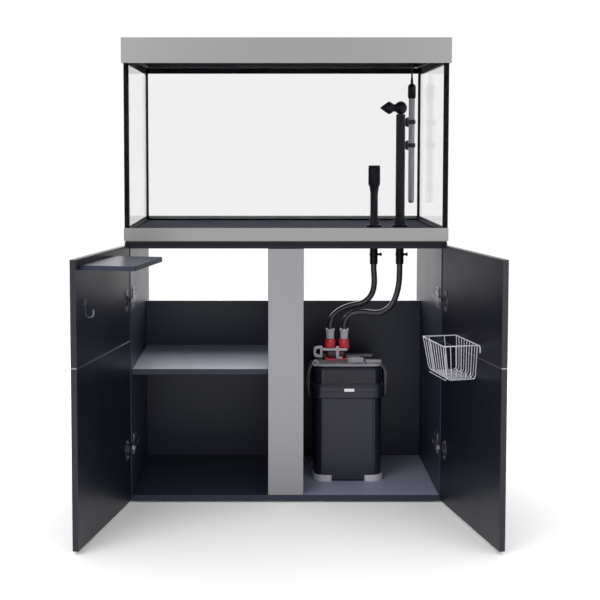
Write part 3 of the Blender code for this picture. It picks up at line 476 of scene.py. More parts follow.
def smoothRoute(points, spacing):
    # Catmull-Rom through the route's own points, then even steps along it
    knots = [Vector(point) for point in points]
    knots = [2 * knots[0] - knots[1]] + knots + [2 * knots[-1] - knots[-2]]
    fine = []
    for a, b, c, d in zip(knots, knots[1:], knots[2:], knots[3:]):
        for step in range(30):
            t = step / 30
            fine.append(0.5 * (2 * b + (c - a) * t + (2 * a - 5 * b + 4 * c - d) * t ** 2
                               + (3 * b - a - 3 * c + d) * t ** 3))
    fine.append(knots[-2])
    result, since = [fine[0]], 0.0
    for before, after in zip(fine, fine[1:]):
        since += (after - before).length
        if since >= spacing:
            result.append(after)
            since = 0.0
    if (result[-1] - fine[-1]).length < spacing / 2:
        result.pop()
    return result + [fine[-1]]


def thinned(route, mostTurn, mostGap):
    # fewer points where the route runs nearly straight
    kept, turned, since = [route[0]], 0.0, 0.0
    for before, here, after in zip(route, route[1:], route[2:]):
        turned += (here - before).angle(after - here)
        since += (here - before).length
        if turned >= mostTurn or since >= mostGap:
            kept.append(here)
            turned = since = 0.0
    return kept + [route[-1]]


def shifted(points):
    return [Vector((x, y + frontY, z)) for x, y, z in points]


def middle(node):
    low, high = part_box(node)
    return (low + high) / 2


def quarterTurn(axis, sign=1):
    return Matrix.Rotation(math.radians(90 * sign), 4, axis)


def bandProfile(inner, outer, half, swell):
    # a ring's section, a little thicker at the middle of its height
    return [(inner, -half), (outer, -half), (outer + swell, 0), (outer, half), (inner, half)]


def around(x, y, number, count):
    # one of evenly spaced places round an upright axis
    return moved(x, y, 0) @ Matrix.Rotation(math.tau * number / count, 4, "Z")


upToFront = quarterTurn("X")
upToBack = quarterTurn("X", -1)


# hoses and the heater's lead

hoses = {
    "intake": {"fitting": (0.272, 0.212, 0.6707), "straight": (0.272, 0.212, 0.655),
               "route": [(0.274, 0.214, 0.630), (0.274, 0.217, 0.606), (0.270, 0.223, 0.583),
                         (0.258, 0.229, 0.562), (0.235, 0.234, 0.546), (0.205, 0.2355, 0.539),
                         (0.178, 0.231, 0.530), (0.157, 0.224, 0.517), (0.1445, 0.218, 0.502)],
               "port": (0.140, 0.216, 0.4713), "portStraight": (0.140, 0.216, 0.485)},
    "outlet": {"fitting": (0.351, 0.212, 0.6707), "straight": (0.351, 0.212, 0.650),
               "route": [(0.350, 0.211, 0.622), (0.346, 0.209, 0.595), (0.338, 0.206, 0.568),
                         (0.325, 0.204, 0.544), (0.302, 0.202, 0.526), (0.274, 0.202, 0.521),
                         (0.246, 0.204, 0.524), (0.219, 0.208, 0.522), (0.199, 0.212, 0.514),
                         (0.188, 0.2148, 0.501)],
               "port": (0.183, 0.216, 0.4713), "portStraight": (0.183, 0.216, 0.484)},
}
hoseRadius = 0.009
hoseStep = 0.0085
lead = {"radius": 0.003, "turns": 2.1476, "coilRadius": 0.034, "coilCentre": (0.370, 0.478),
        "coilTop": 0.0165, "coilBottom": 0.0035, "coilStart": (0.8, -0.6), "coilSteps": 36,
        "gap": 0.0003, "straight": 0.015, "plugDepth": 0.0010, "plugHeight": 0.0060,
        "step": 0.004, "mostTurn": 0.19, "mostGap": 0.12, "tieAngle": 100, "tieLift": 0.0004,
        "route": [(0.421, 0.485, 1.264), (0.4231, 0.4888, 1.2801), (0.4289, 0.499, 1.2918),
                  (0.4368, 0.513, 1.2961), (0.4446, 0.527, 1.2918),
                  (0.4504, 0.5372, 1.2801), (0.4525, 0.541, 1.264), (0.4533, 0.541, 1.205),
                  (0.4535, 0.541, 1.100), (0.4535, 0.540, 0.900), (0.453, 0.538, 0.650),
                  (0.452, 0.535, 0.350), (0.4488, 0.527, 0.140), (0.4478, 0.5252, 0.075),
                  (0.4477, 0.5248, 0.054), (0.4463, 0.523, 0.038),
                  (0.4416, 0.5168, 0.0247), (0.4347, 0.5076, 0.0178),
                  (0.4254, 0.4952, 0.0165), (0.4106, 0.4754, 0.0165)]}


def buildHose(name, facts):
    middleRoute = smoothRoute(shifted([facts["straight"], *facts["route"], facts["portStraight"]]), hoseStep)
    route = shifted([facts["fitting"]]) + middleRoute + shifted([facts["port"]])
    piece = tubePiece(f"{name}HoseTube", [route], hoseRadius, "hose", base, sides=8)
    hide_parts(f"{name}_hose")


def leadRoute():
    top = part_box("heater_head")[1].z
    x, y = middle("heater_head").xy
    start = [Vector((x, y, top + lead["gap"])), Vector((x, y, top + lead["straight"]))]
    centre = Vector((lead["coilCentre"][0], lead["coilCentre"][1] + frontY, 0))
    firstAngle = math.atan2(lead["coilStart"][1], lead["coilStart"][0])
    turnsAngle = lead["turns"] * math.tau
    coil = []
    steps = round(lead["turns"] * lead["coilSteps"])
    for step in range(steps + 1):
        share = step / steps
        angle = firstAngle - turnsAngle * share
        height = lead["coilTop"] + (lead["coilBottom"] - lead["coilTop"]) * share
        coil.append(centre + Vector((lead["coilRadius"] * math.cos(angle),
                                     lead["coilRadius"] * math.sin(angle), height)))
    plugEnd = Vector((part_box("heater_plug")[1].x - lead["plugDepth"], coil[-1].y, lead["plugHeight"]))
    drop = smoothRoute([start[1], *shifted(lead["route"]), coil[0]], lead["step"])
    drop = thinned(drop, lead["mostTurn"], lead["mostGap"])
    print("points in the lead before its coil:", len(drop))
    return [start[0]] + drop + coil[1:] + [plugEnd]


def buildLead():
    route = leadRoute()
    piece = tubePiece("heaterLead", [route], lead["radius"], "hose", base, sides=5)
    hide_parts("heater_cord", "heater_coil")
    bm = bmesh.new()
    coil = middle("heater_coil")
    side = coil.x + lead["coilRadius"] * math.cos(math.radians(lead["tieAngle"]))
    place = moved(side, coil.y + lead["coilRadius"], coil.z + lead["tieLift"])
    turn(bm, [(0.0078, -0.003), (0.0088, -0.003), (0.0088, 0.003), (0.0078, 0.003)],
         place @ Matrix.Diagonal((1, 0.62, 1.12, 1)) @ quarterTurn("Y"), 24, True)
    tie = finishPiece("leadTie", bm, "rubber", base)


for hoseName, hoseFacts in hoses.items():
    buildHose(hoseName, hoseFacts)
buildLead()
print("hoses and lead laid")


# finishes for the nodes that keep their own shape

nodeFinishes = {
    "board": [f"{side}_door_{part}" for side in ("left", "right") for part in ("upper", "lower")],
    "topBoard": ["top_panel"],
    "carcass": ["base_panel", "left_side_panel", "right_side_panel", "back_panel", "centre_divider",
                "cabinet_shelf", "door_shelf"],
    "fascia": ["centre_fascia"],
    "trim": ["left_door_strip", "right_door_strip", "tank_base_frame", "hood_frame"],
    "glass": [f"{place}_glass" for place in ("bottom", "front", "rear", "left", "right")],
    "silicone": ["silicone_seam"],
    "rubber": ["left_runner", "centre_runner", "right_runner", "support_mat"],
    "plastic": ["feeding_flap", "intake_bulkhead", "outlet_bulkhead", "intake_pipe", "outlet_pipe",
                "intake_strainer", "outlet_nozzle", "heater_head", "heater_plug"],
    "filterBody": ["filter_canister", "filter_head"],
    "grey": ["valve_lever", "filter_clamp_left", "filter_clamp_right", "primer_button",
             "filter_media_basket"],
    "red": ["filter_valve"],
    "hingeSteel": [f"{side}_{level}_hinge_{part}" for side in ("left", "right")
                   for level in ("upper", "lower") for part in ("arm", "cup")],
    "hookSteel": ["net_hook"],
    "coated": ["wire_basket"],
    "white": ["light_bar"],
    "heater": ["heater_tube"],
}


def dressNodes():
    for finish, names in nodeFinishes.items():
        for name in names:
            mesh = nodes[name].data
            mesh.materials.clear()
            mesh.materials.append(finishes[finish])


dressNodes()
print("nodes dressed")


def doorPlace(side):
    # what sits on a door is drawn on the closed one, from its pivot, then swung open with it
    joint = joints[f"{side}_door_swing"]
    angle = abs(joint["range_deg"][0]) * (1 if side == "right" else -1)
    pivot = Vector(joint["pos_m"])
    return moved(pivot.x, pivot.y, 0) @ Matrix.Rotation(math.radians(angle), 4, "Z")


# wire basket on the right door

basket = {"wire": 0.00105, "rim": 0.0016, "longWires": 9, "nearWires": 7, "farWires": (2, 5),
          "near": -0.262, "far": -0.105, "door": 0.0105, "outer": 0.1070, "top": 0.5092, "bottom": 0.4145,
          "taper": 0.015, "doorTaper": 0.002, "bend": 0.014, "rimBend": 0.003, "longInset": 0.03,
          "nearInset": 0.04, "lift": 0.0025, "hookStart": 0.006, "hookReach": 0.011, "hookDrop": 0.018,
          "hookBend": 0.008, "hookWire": 1.15}


def between(start, end, share, inset=0.0):
    return start + (end - start) * (inset + (1 - 2 * inset) * share)


def filleted(points, radius, steps=4):
    # an open route with each inner corner rounded
    points = [Vector(point) for point in points]
    route = [points[0]]
    for before, corner, after in zip(points, points[1:], points[2:]):
        start = corner + (before - corner).normalized() * radius
        end = corner + (after - corner).normalized() * radius
        for step in range(steps + 1):
            t = step / steps
            route.append((1 - t) ** 2 * start + 2 * t * (1 - t) * corner + t ** 2 * end)
    return route + [points[-1]]


def buildBasket():
    b, place = basket, doorPlace("right")
    low, high, bottom = b["bottom"], b["top"], b["bottom"] + b["lift"]
    nearLow, farLow = b["near"] + b["taper"], b["far"] - b["taper"]
    doorLow, outerLow = b["door"] + b["doorTaper"], b["outer"] - b["taper"]
    routes = []
    for number in range(b["longWires"]):
        share = number / (b["longWires"] - 1)
        x, xLow = between(b["near"], b["far"], share, b["longInset"]), between(nearLow, farLow, share)
        routes.append(filleted([(x, b["outer"], high), (xLow, outerLow, bottom),
                                (xLow, doorLow, bottom), (x, b["door"], high)], b["bend"]))
    for number in range(b["nearWires"]):
        share = number / (b["nearWires"] - 1)
        y, yLow = between(b["door"], b["outer"], share, b["nearInset"]), between(doorLow, outerLow, share)
        corners = [(b["near"], y, high), (nearLow, yLow, low), (farLow, yLow, low)]
        if number in b["farWires"]:
            corners.append((b["far"], y, high))
        routes.append(filleted(corners, b["bend"]))
    routes = [[place @ point for point in route] for route in routes]
    tubePiece("basketWires", routes, b["wire"], "coated", "basket", sides=2)
    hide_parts("wire_basket")
    corners = [(b["near"], b["door"]), (b["near"], b["outer"]), (b["far"], b["outer"]), (b["far"], b["door"])]
    loop = [Vector((x, y, high)) for x, y in corners]
    loop = filleted([(loop[0] + loop[3]) / 2, *loop, (loop[0] + loop[3]) / 2], b["rimBend"])
    tubePiece("basketRim", [[place @ point for point in loop[:-1]]], b["rim"], "coated", "basket",
              cyclic=True, sides=3)
    reach = b["near"] - b["hookReach"]
    hook = filleted([(b["near"] + b["hookStart"], b["door"], high), (reach, b["door"], high),
                     (reach, b["door"], high - b["hookDrop"])], b["hookBend"], 6)
    tubePiece("basketHook", [[place @ point for point in hook]], b["rim"] * b["hookWire"], "coated",
              "basket", sides=3)


buildBasket()
print("basket bent")


# black sealant where the panes meet, a dark tank floor and the hood's dark lining

tank = {"frontBand": 0.0125, "rearBand": 0.0080, "film": 0.00018, "stand": 0.00005, "topBand": 0.018,
        "bandInset": 0.006, "lipX": 0.0102, "lipY": 0.0183, "underSkin": 0.0033, "wall": 0.001,
        "liningThick": 0.0012, "flapGap": 0.002, "rimThick": 0.0004, "coverLift": 0.004, "coverReach": 0.030,
        "underLampX": 0.006, "underLampY": 0.004, "footGap": 0.0003, "sideGap": 0.001, "lightRows": 3,
        "lightCount": 40, "lightEnd": 0.02, "lightHalf": 0.0022, "lightHeight": 0.0008}


def buildSeams():
    front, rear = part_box("front_glass"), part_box("rear_glass")
    left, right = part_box("left_glass"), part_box("right_glass")
    low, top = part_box("tank_base_frame")[1].z + tank["footGap"], front[1].z
    near, far = front[1].y + tank["stand"], rear[0].y - tank["stand"]
    bm = bmesh.new()
    for side in (-1, 1):
        x0, x1 = sorted((front[1].x * side, (front[1].x - tank["frontBand"]) * side))
        block(bm, (x0, near, low), (x1, near + tank["film"], top))
        x0, x1 = sorted((front[1].x * side, (front[1].x - tank["rearBand"]) * side))
        block(bm, (x0, far - tank["film"], low), (x1, far, top))
    band = top - tank["topBand"]
    gap = tank["sideGap"]
    block(bm, (left[1].x + gap, far - tank["film"], band), (right[0].x - gap, far, top))
    inset = tank["bandInset"]
    for edge in (left[1].x + tank["stand"], right[0].x - tank["stand"] - tank["film"]):
        block(bm, (edge, front[1].y + inset, band), (edge + tank["film"], rear[0].y - inset, top))
    finishPiece("sealantBands", bm, "silicone", base)
    low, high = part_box("bottom_glass")
    bm = bmesh.new()
    sheetLow = high.z + tank["stand"]
    block(bm, (low.x, low.y, sheetLow), (high.x, high.y, sheetLow + tank["film"]))
    finishPiece("tankFloorSheet", bm, "floor", base)


def frameOf(bm, low, high, holes):
    # a flat plate with rectangular holes, made from the strips between them
    rows = sorted({low[1], high[1], *(y for hole in holes for y in (hole[1], hole[3]))})
    for y0, y1 in zip(rows, rows[1:]):
        openings = [hole for hole in holes if hole[1] <= y0 and hole[3] >= y1]
        columns = [low[0], *(x for hole in openings for x in (hole[0], hole[2])), high[0]]
        for x0, x1 in zip(columns[::2], columns[1::2]):
            block(bm, (x0, y0, low[2]), (x1, y1, high[2]))
    bmesh.ops.remove_doubles(bm, verts=bm.verts, dist=weld)


def buildHoodLining():
    flap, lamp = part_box("feeding_flap"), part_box("light_bar")
    front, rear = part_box("front_glass"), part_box("rear_glass")
    left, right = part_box("left_glass"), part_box("right_glass")
    x0, x1 = left[1].x + tank["lipX"], right[0].x - tank["lipX"]
    y0, y1 = front[0].y + tank["lipY"], rear[1].y - tank["lipY"]
    wall, thick, gap = tank["wall"], tank["liningThick"], tank["flapGap"]
    bm = bmesh.new()
    # under the skin, open round the flap
    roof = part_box("hood_frame")[1].z - tank["underSkin"]
    frameOf(bm, (x0, y0, roof - thick), (x1, y1, roof),
            [(flap[0].x - gap, flap[0].y - gap, flap[1].x + gap, flap[1].y + gap)])
    # down the four sides
    foot = front[1].z + wall
    for near, far in ((y0, y0 + wall), (y1 - wall, y1)):
        block(bm, (x0, near, foot), (x1, far, roof - thick))
    for near, far in ((x0, x0 + wall), (x1 - wall, x1)):
        block(bm, (near, y0 + wall, foot), (far, y1 - wall, roof - thick))
    # a thin rim over the panes' top edges
    rim, rimTop = tank["rimThick"], front[1].z + 0.0001
    frameOf(bm, (left[1].x + rim, front[1].y + rim, rimTop - rim),
            (right[0].x - rim, rear[0].y - rim, rimTop), [(x0, y0, x1, y1)])
    # a cover at the lamp bar's height, open under the lamp
    acrossLamp, alongLamp = tank["underLampX"], tank["underLampY"]
    cover = lamp[0].z - tank["coverLift"]
    frameOf(bm, (x0 + wall, lamp[0].y - tank["coverReach"], cover - thick), (x1 - wall, y1 - wall, cover),
            [(lamp[0].x + acrossLamp, lamp[0].y + alongLamp, lamp[1].x - acrossLamp, lamp[1].y - alongLamp)])
    finishPiece("hoodLining", bm, "lining", base)


def buildLampDiodes():
    low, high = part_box("light_bar")
    half, end = tank["lightHalf"], tank["lightEnd"]
    bm = bmesh.new()
    for row in range(tank["lightRows"]):
        y = low.y + (high.y - low.y) * (row + 1) / (tank["lightRows"] + 1)
        for number in range(tank["lightCount"]):
            x = low.x + end + (high.x - low.x - 2 * end) * number / (tank["lightCount"] - 1)
            block(bm, (x - half, y - half, low.z - tank["lightHeight"]), (x + half, y + half, low.z),
                  0.0006, 1)
    finishPiece("lampDiodes", bm, "label", base)


buildSeams()
buildHoodLining()
buildLampDiodes()
print("tank sealed and hood lined")


# filter: ribs, blank label, feet, top plate and its fittings

filterFacts = {"ribs": 34, "ribWidth": 0.0017, "ribDepth": 0.0011, "ribTop": 0.012, "ribBottom": 0.010,
               "labelWidth": 0.030, "labelHeight": 0.012, "lip": 0.0016, "footHeight": 0.019,
               "footLength": 0.052, "footWall": 0.0035, "topThick": 0.0075, "corner": 0.030,
               "lipTops": (0.0015, 0.0165, 0.0335), "lipRoot": -0.0006, "rail": 0.002, "railReach": 0.003,
               "labelX": 0.192, "labelZ": 0.2775, "footInset": 0.009, "footSteps": 8,
               # each block on the top plate: place, outline, height, bevel and its steps
               "blocks": [((0.268, 0.036), (0.050, 0.034, 0.008), 0.0065, 0.0022, 3),
                          ((0.217, 0.030), (0.044, 0.024, 0.006), 0.0150, 0.0030, 4)]}


def wrapBand(bm, centre, width, depth, corner, rings):
    # a closed band round a rounded rectangle, from rings of (outset, height)
    part = bmesh.new()
    loops = []
    for outset, height in rings:
        verts = [part.verts.new((centre.x + x, centre.y + y, height))
                 for x, y in roundedOutline(width + 2 * outset, depth + 2 * outset, corner + outset, 8)]
        loops.append([part.edges.new((a, b)) for a, b in zip(verts, verts[1:] + verts[:1])])
    for first, second in zip(loops, loops[1:] + loops[:1]):
        bmesh.ops.bridge_loops(part, edges=first + second)
    bmesh.ops.recalc_face_normals(part, faces=part.faces)
    addTo(bm, part)


def buildFilterTrim():
    f = filterFacts
    headLow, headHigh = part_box("filter_head")
    low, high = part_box("filter_canister")
    centre = (headLow + headHigh) / 2
    width, depth = headHigh.x - headLow.x, headHigh.y - headLow.y
    bodyWidth, bodyDepth = high.x - low.x, high.y - low.y
    root, lip = f["lipRoot"], f["lip"]
    bm = bmesh.new()
    for drop in f["lipTops"]:
        top = high.z - drop
        wrapBand(bm, centre, bodyWidth, bodyDepth, f["corner"] + 0.004,
                 [(root, top - 0.0040), (lip * 0.7, top - 0.0034), (lip, top - 0.0020),
                  (lip * 0.7, top - 0.0006), (root, top)])
    foot = headLow.z + touch
    wrapBand(bm, centre, width, depth, f["corner"] - 0.002,
             [(root, foot), (0.0028, foot), (0.0030, foot + 0.0028), (0.0020, foot + 0.0040),
              (root, foot + 0.0044)])
    finishPiece("filterLips", bm, "filterBody", base)
    bm = bmesh.new()
    span = width - 2 * f["corner"] - 0.010
    top, bottom = headHigh.z - f["ribTop"], headLow.z + f["ribBottom"]
    for number in range(f["ribs"]):
        x = centre.x - span / 2 + span * number / (f["ribs"] - 1)
        for y, out in ((headLow.y, -1), (headHigh.y, 1)):
            y0, y1 = sorted((y, y + out * f["ribDepth"]))
            block(bm, (x - f["ribWidth"] / 2, y0, bottom), (x + f["ribWidth"] / 2, y1, top), 0.0004, 1)
    half = span / 2 + f["railReach"]
    for y, out in ((headLow.y, -1), (headHigh.y, 1)):
        y0, y1 = sorted((y, y + out * (f["ribDepth"] + 0.0004)))
        for z in (bottom - f["rail"], top):
            block(bm, (centre.x - half, y0, z), (centre.x + half, y1, z + f["rail"]), 0.0005, 1)
    finishPiece("filterRibs", bm, "ribs", base)
    bm = bmesh.new()
    plate(bm, roundedOutline(f["labelWidth"], f["labelHeight"], 0.0015, 3), 0.0005,
          moved(f["labelX"], low.y + 0.00002, low.z + f["labelZ"]) @ upToFront, 0.0002, 1)
    finishPiece("blankLabel", bm, "label", base)


def footRing(centre, half, signs, outset, height):
    # the outline of one foot at one height: along the front, round the corner and along the side
    f = filterFacts
    radius = f["corner"] + outset
    edge = [extent + outset for extent in half]
    points = [(edge[0] - f["footLength"], edge[1])]
    for step in range(f["footSteps"] + 1):
        angle = math.radians(90 - 90 * step / f["footSteps"])
        points.append((edge[0] - radius + radius * math.cos(angle),
                       edge[1] - radius + radius * math.sin(angle)))
    points.append((edge[0], edge[1] - f["footLength"]))
    return [(centre.x + signs[0] * x, centre.y + signs[1] * y, height) for x, y in points]


def buildFeet():
    f = filterFacts
    low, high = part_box("filter_canister")
    centre = (low + high) / 2
    half = ((high.x - low.x) / 2 - f["footInset"], (high.y - low.y) / 2 - f["footInset"])
    profile = [(0.0003, 0.0006), (f["footWall"] + 0.002, 0.0006),
               (f["footWall"] + 0.0015, f["footHeight"] * 0.7), (f["footWall"], f["footHeight"]),
               (0.0003, f["footHeight"])]
    bm = bmesh.new()
    for signs in ((-1, -1), (-1, 1), (1, -1), (1, 1)):
        part = bmesh.new()
        rings = [[part.verts.new(point) for point in footRing(centre, half, signs, outset, low.z + height)]
                 for outset, height in profile]
        rings.append(rings[0])
        edges = [[part.edges.get((a, b)) or part.edges.new((a, b)) for a, b in zip(ring, ring[1:])]
                 for ring in rings]
        for first, second in zip(edges, edges[1:]):
            bmesh.ops.bridge_loops(part, edges=first + second)
        bmesh.ops.holes_fill(part, edges=part.edges)
        bmesh.ops.recalc_face_normals(part, faces=part.faces)
        addTo(bm, part)
    finishPiece("filterFeet", bm, "footGrey", base)


def buildFilterTop():
    headLow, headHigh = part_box("filter_head")
    middleX, width, near = (headLow.x + headHigh.x) / 2, headHigh.x - headLow.x, headLow.y
    seat, thick = headHigh.z + touch, filterFacts["topThick"]
    bm = bmesh.new()
    # pale plate over the head, its corners rounded, with a raised rear edge
    plate(bm, roundedOutline(width - 0.008, 0.070, 0.020), thick,
          moved(middleX, near + 0.041, seat), 0.0025, 3)
    plate(bm, roundedOutline(width - 0.030, 0.030, 0.010), thick - 0.0015,
          moved(middleX, headHigh.y - 0.020, seat), 0.002, 3)
    finishPiece("filterTopPlate", bm, "grey", base)
    bm = bmesh.new()
    shoulder = seat + thick + touch
    for (x, y), outline, tall, bevel, segments in filterFacts["blocks"]:
        plate(bm, roundedOutline(*outline), tall, moved(x, near + y, shoulder), bevel, segments)
    finishPiece("filterTopBlock", bm, "grey", base)
    bm = bmesh.new()
    turn(bm, [(0, 0), (0.0042, 0), (0.0042, 0.0006), (0, 0.0006)],
         moved(0.2425, near + 0.0085, headHigh.z + 0.0055) @ upToFront, 20)
    finishPiece("filterTopHole", bm, "silicone", base)
    bm = bmesh.new()
    # eyelet that the handle folds through, at the left end
    turn(bm, [(0.0052, -0.003), (0.0092, -0.003), (0.0098, 0), (0.0092, 0.003), (0.0052, 0.003), (0.0046, 0)],
         moved(headLow.x + 0.006, near + 0.012, headHigh.z + 0.0105) @ upToFront, 28, True)
    finishPiece("filterEyelet", bm, "grey", base)


# hose valve: red base, dark body, two red collars and two pale nuts, with the shut-off lever in front

valve = {"ports": (0.140, 0.183), "y": 0.216, "block": (0.124, 0.193), "blockDepth": 0.020,
         "blockTop": 0.405, "collarTop": 0.440, "nutTop": 0.471, "nutSplit": 0.0105, "flutes": 16,
         "baseHeight": 0.012, "bodyDepth": 0.030, "corner": 0.007, "fluteDepth": 0.0008}


def flutedNut(bm, x, y, low, high, radiusLow, radiusHigh, flutes):
    part = bmesh.new()
    loops = []
    depth = valve["fluteDepth"]
    for share in (0.0, 0.06, 0.5, 0.94, 1.0):
        radius = radiusLow + (radiusHigh - radiusLow) * share - (depth if share in (0.0, 1.0) else 0.0)
        verts = []
        for number in range(flutes * 4):
            angle = math.tau * number / (flutes * 4)
            reach = radius - (0.0, 0.0, depth, depth)[number % 4]
            verts.append(part.verts.new((x + reach * math.cos(angle), y + reach * math.sin(angle),
                                         low + (high - low) * share)))
        loops.append([part.edges.new((a, b)) for a, b in zip(verts, verts[1:] + verts[:1])])
    for first, second in zip(loops, loops[1:]):
        bmesh.ops.bridge_loops(part, edges=first + second)
    bmesh.ops.holes_fill(part, edges=part.edges)
    bmesh.ops.recalc_face_normals(part, faces=part.faces)
    addTo(bm, part)


def buildValve():
    y, bottom = valve["y"] + frontY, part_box("filter_valve")[0].z
    x0, x1 = valve["block"]
    bm = bmesh.new()
    plate(bm, roundedOutline(x1 - x0, valve["blockDepth"] * 2, valve["corner"]), valve["baseHeight"],
          moved((x0 + x1) / 2, y, bottom), 0.002, 3)
    finishPiece("valveBase", bm, "red", base, ["filter_valve"])
    bm = bmesh.new()
    seat = bottom + valve["baseHeight"] + touch
    plate(bm, roundedOutline(x1 - x0 - 0.010, valve["bodyDepth"], valve["corner"]),
          valve["blockTop"] - seat - 0.0003, moved((x0 + x1) / 2, y, seat), 0.003, 3)
    finishPiece("valveBody", bm, "darkRed", base)
    bm = bmesh.new()
    for x in valve["ports"]:
        low, high = valve["blockTop"] + touch, valve["collarTop"]
        turn(bm, [(0, low), (0.0140, low), (0.0155, low + 0.003), (0.0163, low + 0.009),
                  (0.0163, high - 0.012), (0.0166, high - 0.0115), (0.0166, high - 0.0095),
                  (0.0160, high - 0.009), (0.0152, high - 0.002), (0.0142, high), (0, high)],
             moved(x, y, 0), 40)
        for number in range(4):
            plate(bm, roundedOutline(0.0040, 0.0060, 0.0012, 3), 0.020,
                  around(x, y, number + 0.5, 4) @ moved(0.0150, 0, low + 0.004), 0.0006, 1)
    finishPiece("valveCollars", bm, "red", base)
    bm = bmesh.new()
    for x in valve["ports"]:
        split = valve["nutTop"] - valve["nutSplit"]
        flutedNut(bm, x, y, valve["collarTop"] + touch, split, 0.0112, 0.0122, valve["flutes"])
        flutedNut(bm, x, y, split + touch, valve["nutTop"], 0.0130, 0.0140, valve["flutes"])
    finishPiece("hoseNuts", bm, "nutGrey", base)


# lever drawn on X and Z: a C-shaped grip on the left, the bar across and the stem to its pivot
lever = {"grip": [(0.0905, 0.4195), (0.1100, 0.4225), (0.1100, 0.4145), (0.0965, 0.4120), (0.0955, 0.3975),
                  (0.1085, 0.3935), (0.1080, 0.3855), (0.0930, 0.3880), (0.0885, 0.3940), (0.0875, 0.4120)],
         "across": (0.1120, 0.4070, 0.4150),
         "bars": [(0.1080, 0.1155, 0.3860, 0.4215, 0.0), (0.1560, 0.1660, 0.3830, 0.4210, 0.0004),
                  (0.1600, 0.1765, 0.3810, 0.3890, 0.0006)],
         "pivot": (0.163, 0.411)}


def buildLever():
    low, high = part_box("valve_lever")
    depth = high.y - low.y
    place = moved(0, high.y, 0) @ upToFront
    bm = bmesh.new()
    plate(bm, lever["grip"][::-1], depth, place, 0.0014)
    start, under, over = lever["across"]
    for x0, x1, z0, z1, inset in [(start, high.x, under, over, 0.0), *lever["bars"]]:
        outline = roundedOutline(x1 - x0, z1 - z0, min(x1 - x0, z1 - z0) * 0.32, 4)
        plate(bm, outline, depth - 2 * inset, place @ moved((x0 + x1) / 2, (z0 + z1) / 2, inset), 0.0012)
    turn(bm, [(0, 0), (0.0052, 0), (0.0052, 0.0014), (0.0044, 0.0020), (0, 0.0020)],
         moved(lever["pivot"][0], low.y + touch, lever["pivot"][1]) @ upToFront, 28)
    finishPiece("leverArm", bm, "nutGrey", "shutoff_lever", ["valve_lever"])


def buildPrimer():
    low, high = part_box("primer_button")
    centre = (low + high) / 2
    bm = bmesh.new()
    plate(bm, roundedOutline(high.x - low.x, high.y - low.y, 0.009), high.z - low.z,
          moved(centre.x, centre.y, low.z), 0.003, 4)
    for number in range(5):
        y = centre.y - 0.010 + 0.005 * number
        plate(bm, roundedOutline(0.026, 0.0016, 0.0007, 3), 0.0008,
              moved(centre.x, y, high.z - 0.0001), 0.0003, 1)
    finishPiece("primerCap", bm, "grey", "primer", ["primer_button"])


def clampOutline(low, high, sign):
    # a wedge in X and Z: out from the pivot, down the side, in to its tip and back up inside
    inner, outer = (low.x, high.x) if sign > 0 else (high.x, low.x)
    fromPivot = [(0.0, 0.0015), (0.004, 0.0), (0.011, 0.006)]
    downSide = [(0.0, 0.024), (0.0, 0.050)]
    roundTip = [(0.002, 0.022), (0.0065, 0.0), (0.0095, 0.002), (0.0098, 0.030)]
    upInside = [(0.0100, 0.049), (0.0100, 0.030)]
    backToPivot = [(0.0060, 0.0165), (0.0, 0.010)]
    shape = [(inner + sign * x, high.z - z) for x, z in fromPivot]
    shape += [(outer - sign * x, high.z - z) for x, z in downSide]
    shape += [(outer - sign * x, low.z + z) for x, z in roundTip]
    shape += [(outer - sign * x, high.z - z) for x, z in upInside]
    shape += [(inner + sign * x, high.z - z) for x, z in backToPivot]
    return shape if sign > 0 else shape[::-1]


def buildClamps():
    for side, sign in (("left", -1), ("right", 1)):
        low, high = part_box(f"filter_clamp_{side}")
        outer = high.x if sign > 0 else low.x
        middleY = (low.y + high.y) / 2
        bm = bmesh.new()
        plate(bm, clampOutline(low, high, sign), high.y - low.y, moved(0, high.y, 0) @ upToFront, 0.0012)
        x0, x1 = sorted((outer - sign * 0.0003, outer))
        for number in range(-2, 3):
            y = middleY + 0.008 * number
            block(bm, (x0, y - 0.0012, low.z + 0.030), (x1, y + 0.0012, high.z - 0.030))
        finishPiece(f"{side}ClampLever", bm, "clampGrey", f"{side}_clamp",
                    [f"filter_clamp_{side}"])


buildFilterTrim()
buildFeet()
buildFilterTop()
buildValve()
buildLever()
buildPrimer()
buildClamps()
print("filter fitted out")


# pipes, strainer, nozzle and heater

pipes = {"slots": 14, "nutHeight": 0.014, "nutRadius": 0.0225, "screwLength": 0.012,
         "cupRadius": 0.0160, "cupHeights": (1.108, 1.032), "headRibs": 12,
         "collarInner": {"intake": 0.0119, "outlet": 0.0144}, "clipDrop": 0.0292, "nutFlutes": 18}


def buildBulkheads():
    bm = bmesh.new()
    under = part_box("top_panel")[0].z - 0.0006
    for label, inner in pipes["collarInner"].items():
        low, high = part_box(f"{label}_bulkhead")
        x, y = ((low + high) / 2).xy
        flutedNut(bm, x, y, under - pipes["nutHeight"], under, pipes["nutRadius"] - 0.001,
                  pipes["nutRadius"] - 0.0002, pipes["nutFlutes"])
        turn(bm, [(inner, 0), (inner + 0.0032, 0), (inner + 0.0028, 0.018), (inner + 0.0014, 0.022),
                  (inner, 0.023)], moved(x, y, high.z), 40, True)
        # clip round the hose tail with its screw to the right
        tail = low.z + pipes["clipDrop"]
        turn(bm, bandProfile(0.0103, 0.0125, 0.005, 0.0005), moved(x, y, tail), 36, True)
        turn(bm, [(0, 0), (0.0035, 0), (0.0035, 0.006), (0.0050, 0.0065), (0.0050, pipes["screwLength"]),
                  (0, pipes["screwLength"])], moved(x + 0.0122, y, tail) @ quarterTurn("Y"), 20)
    finishPiece("bulkheadNuts", bm, "plastic", base)


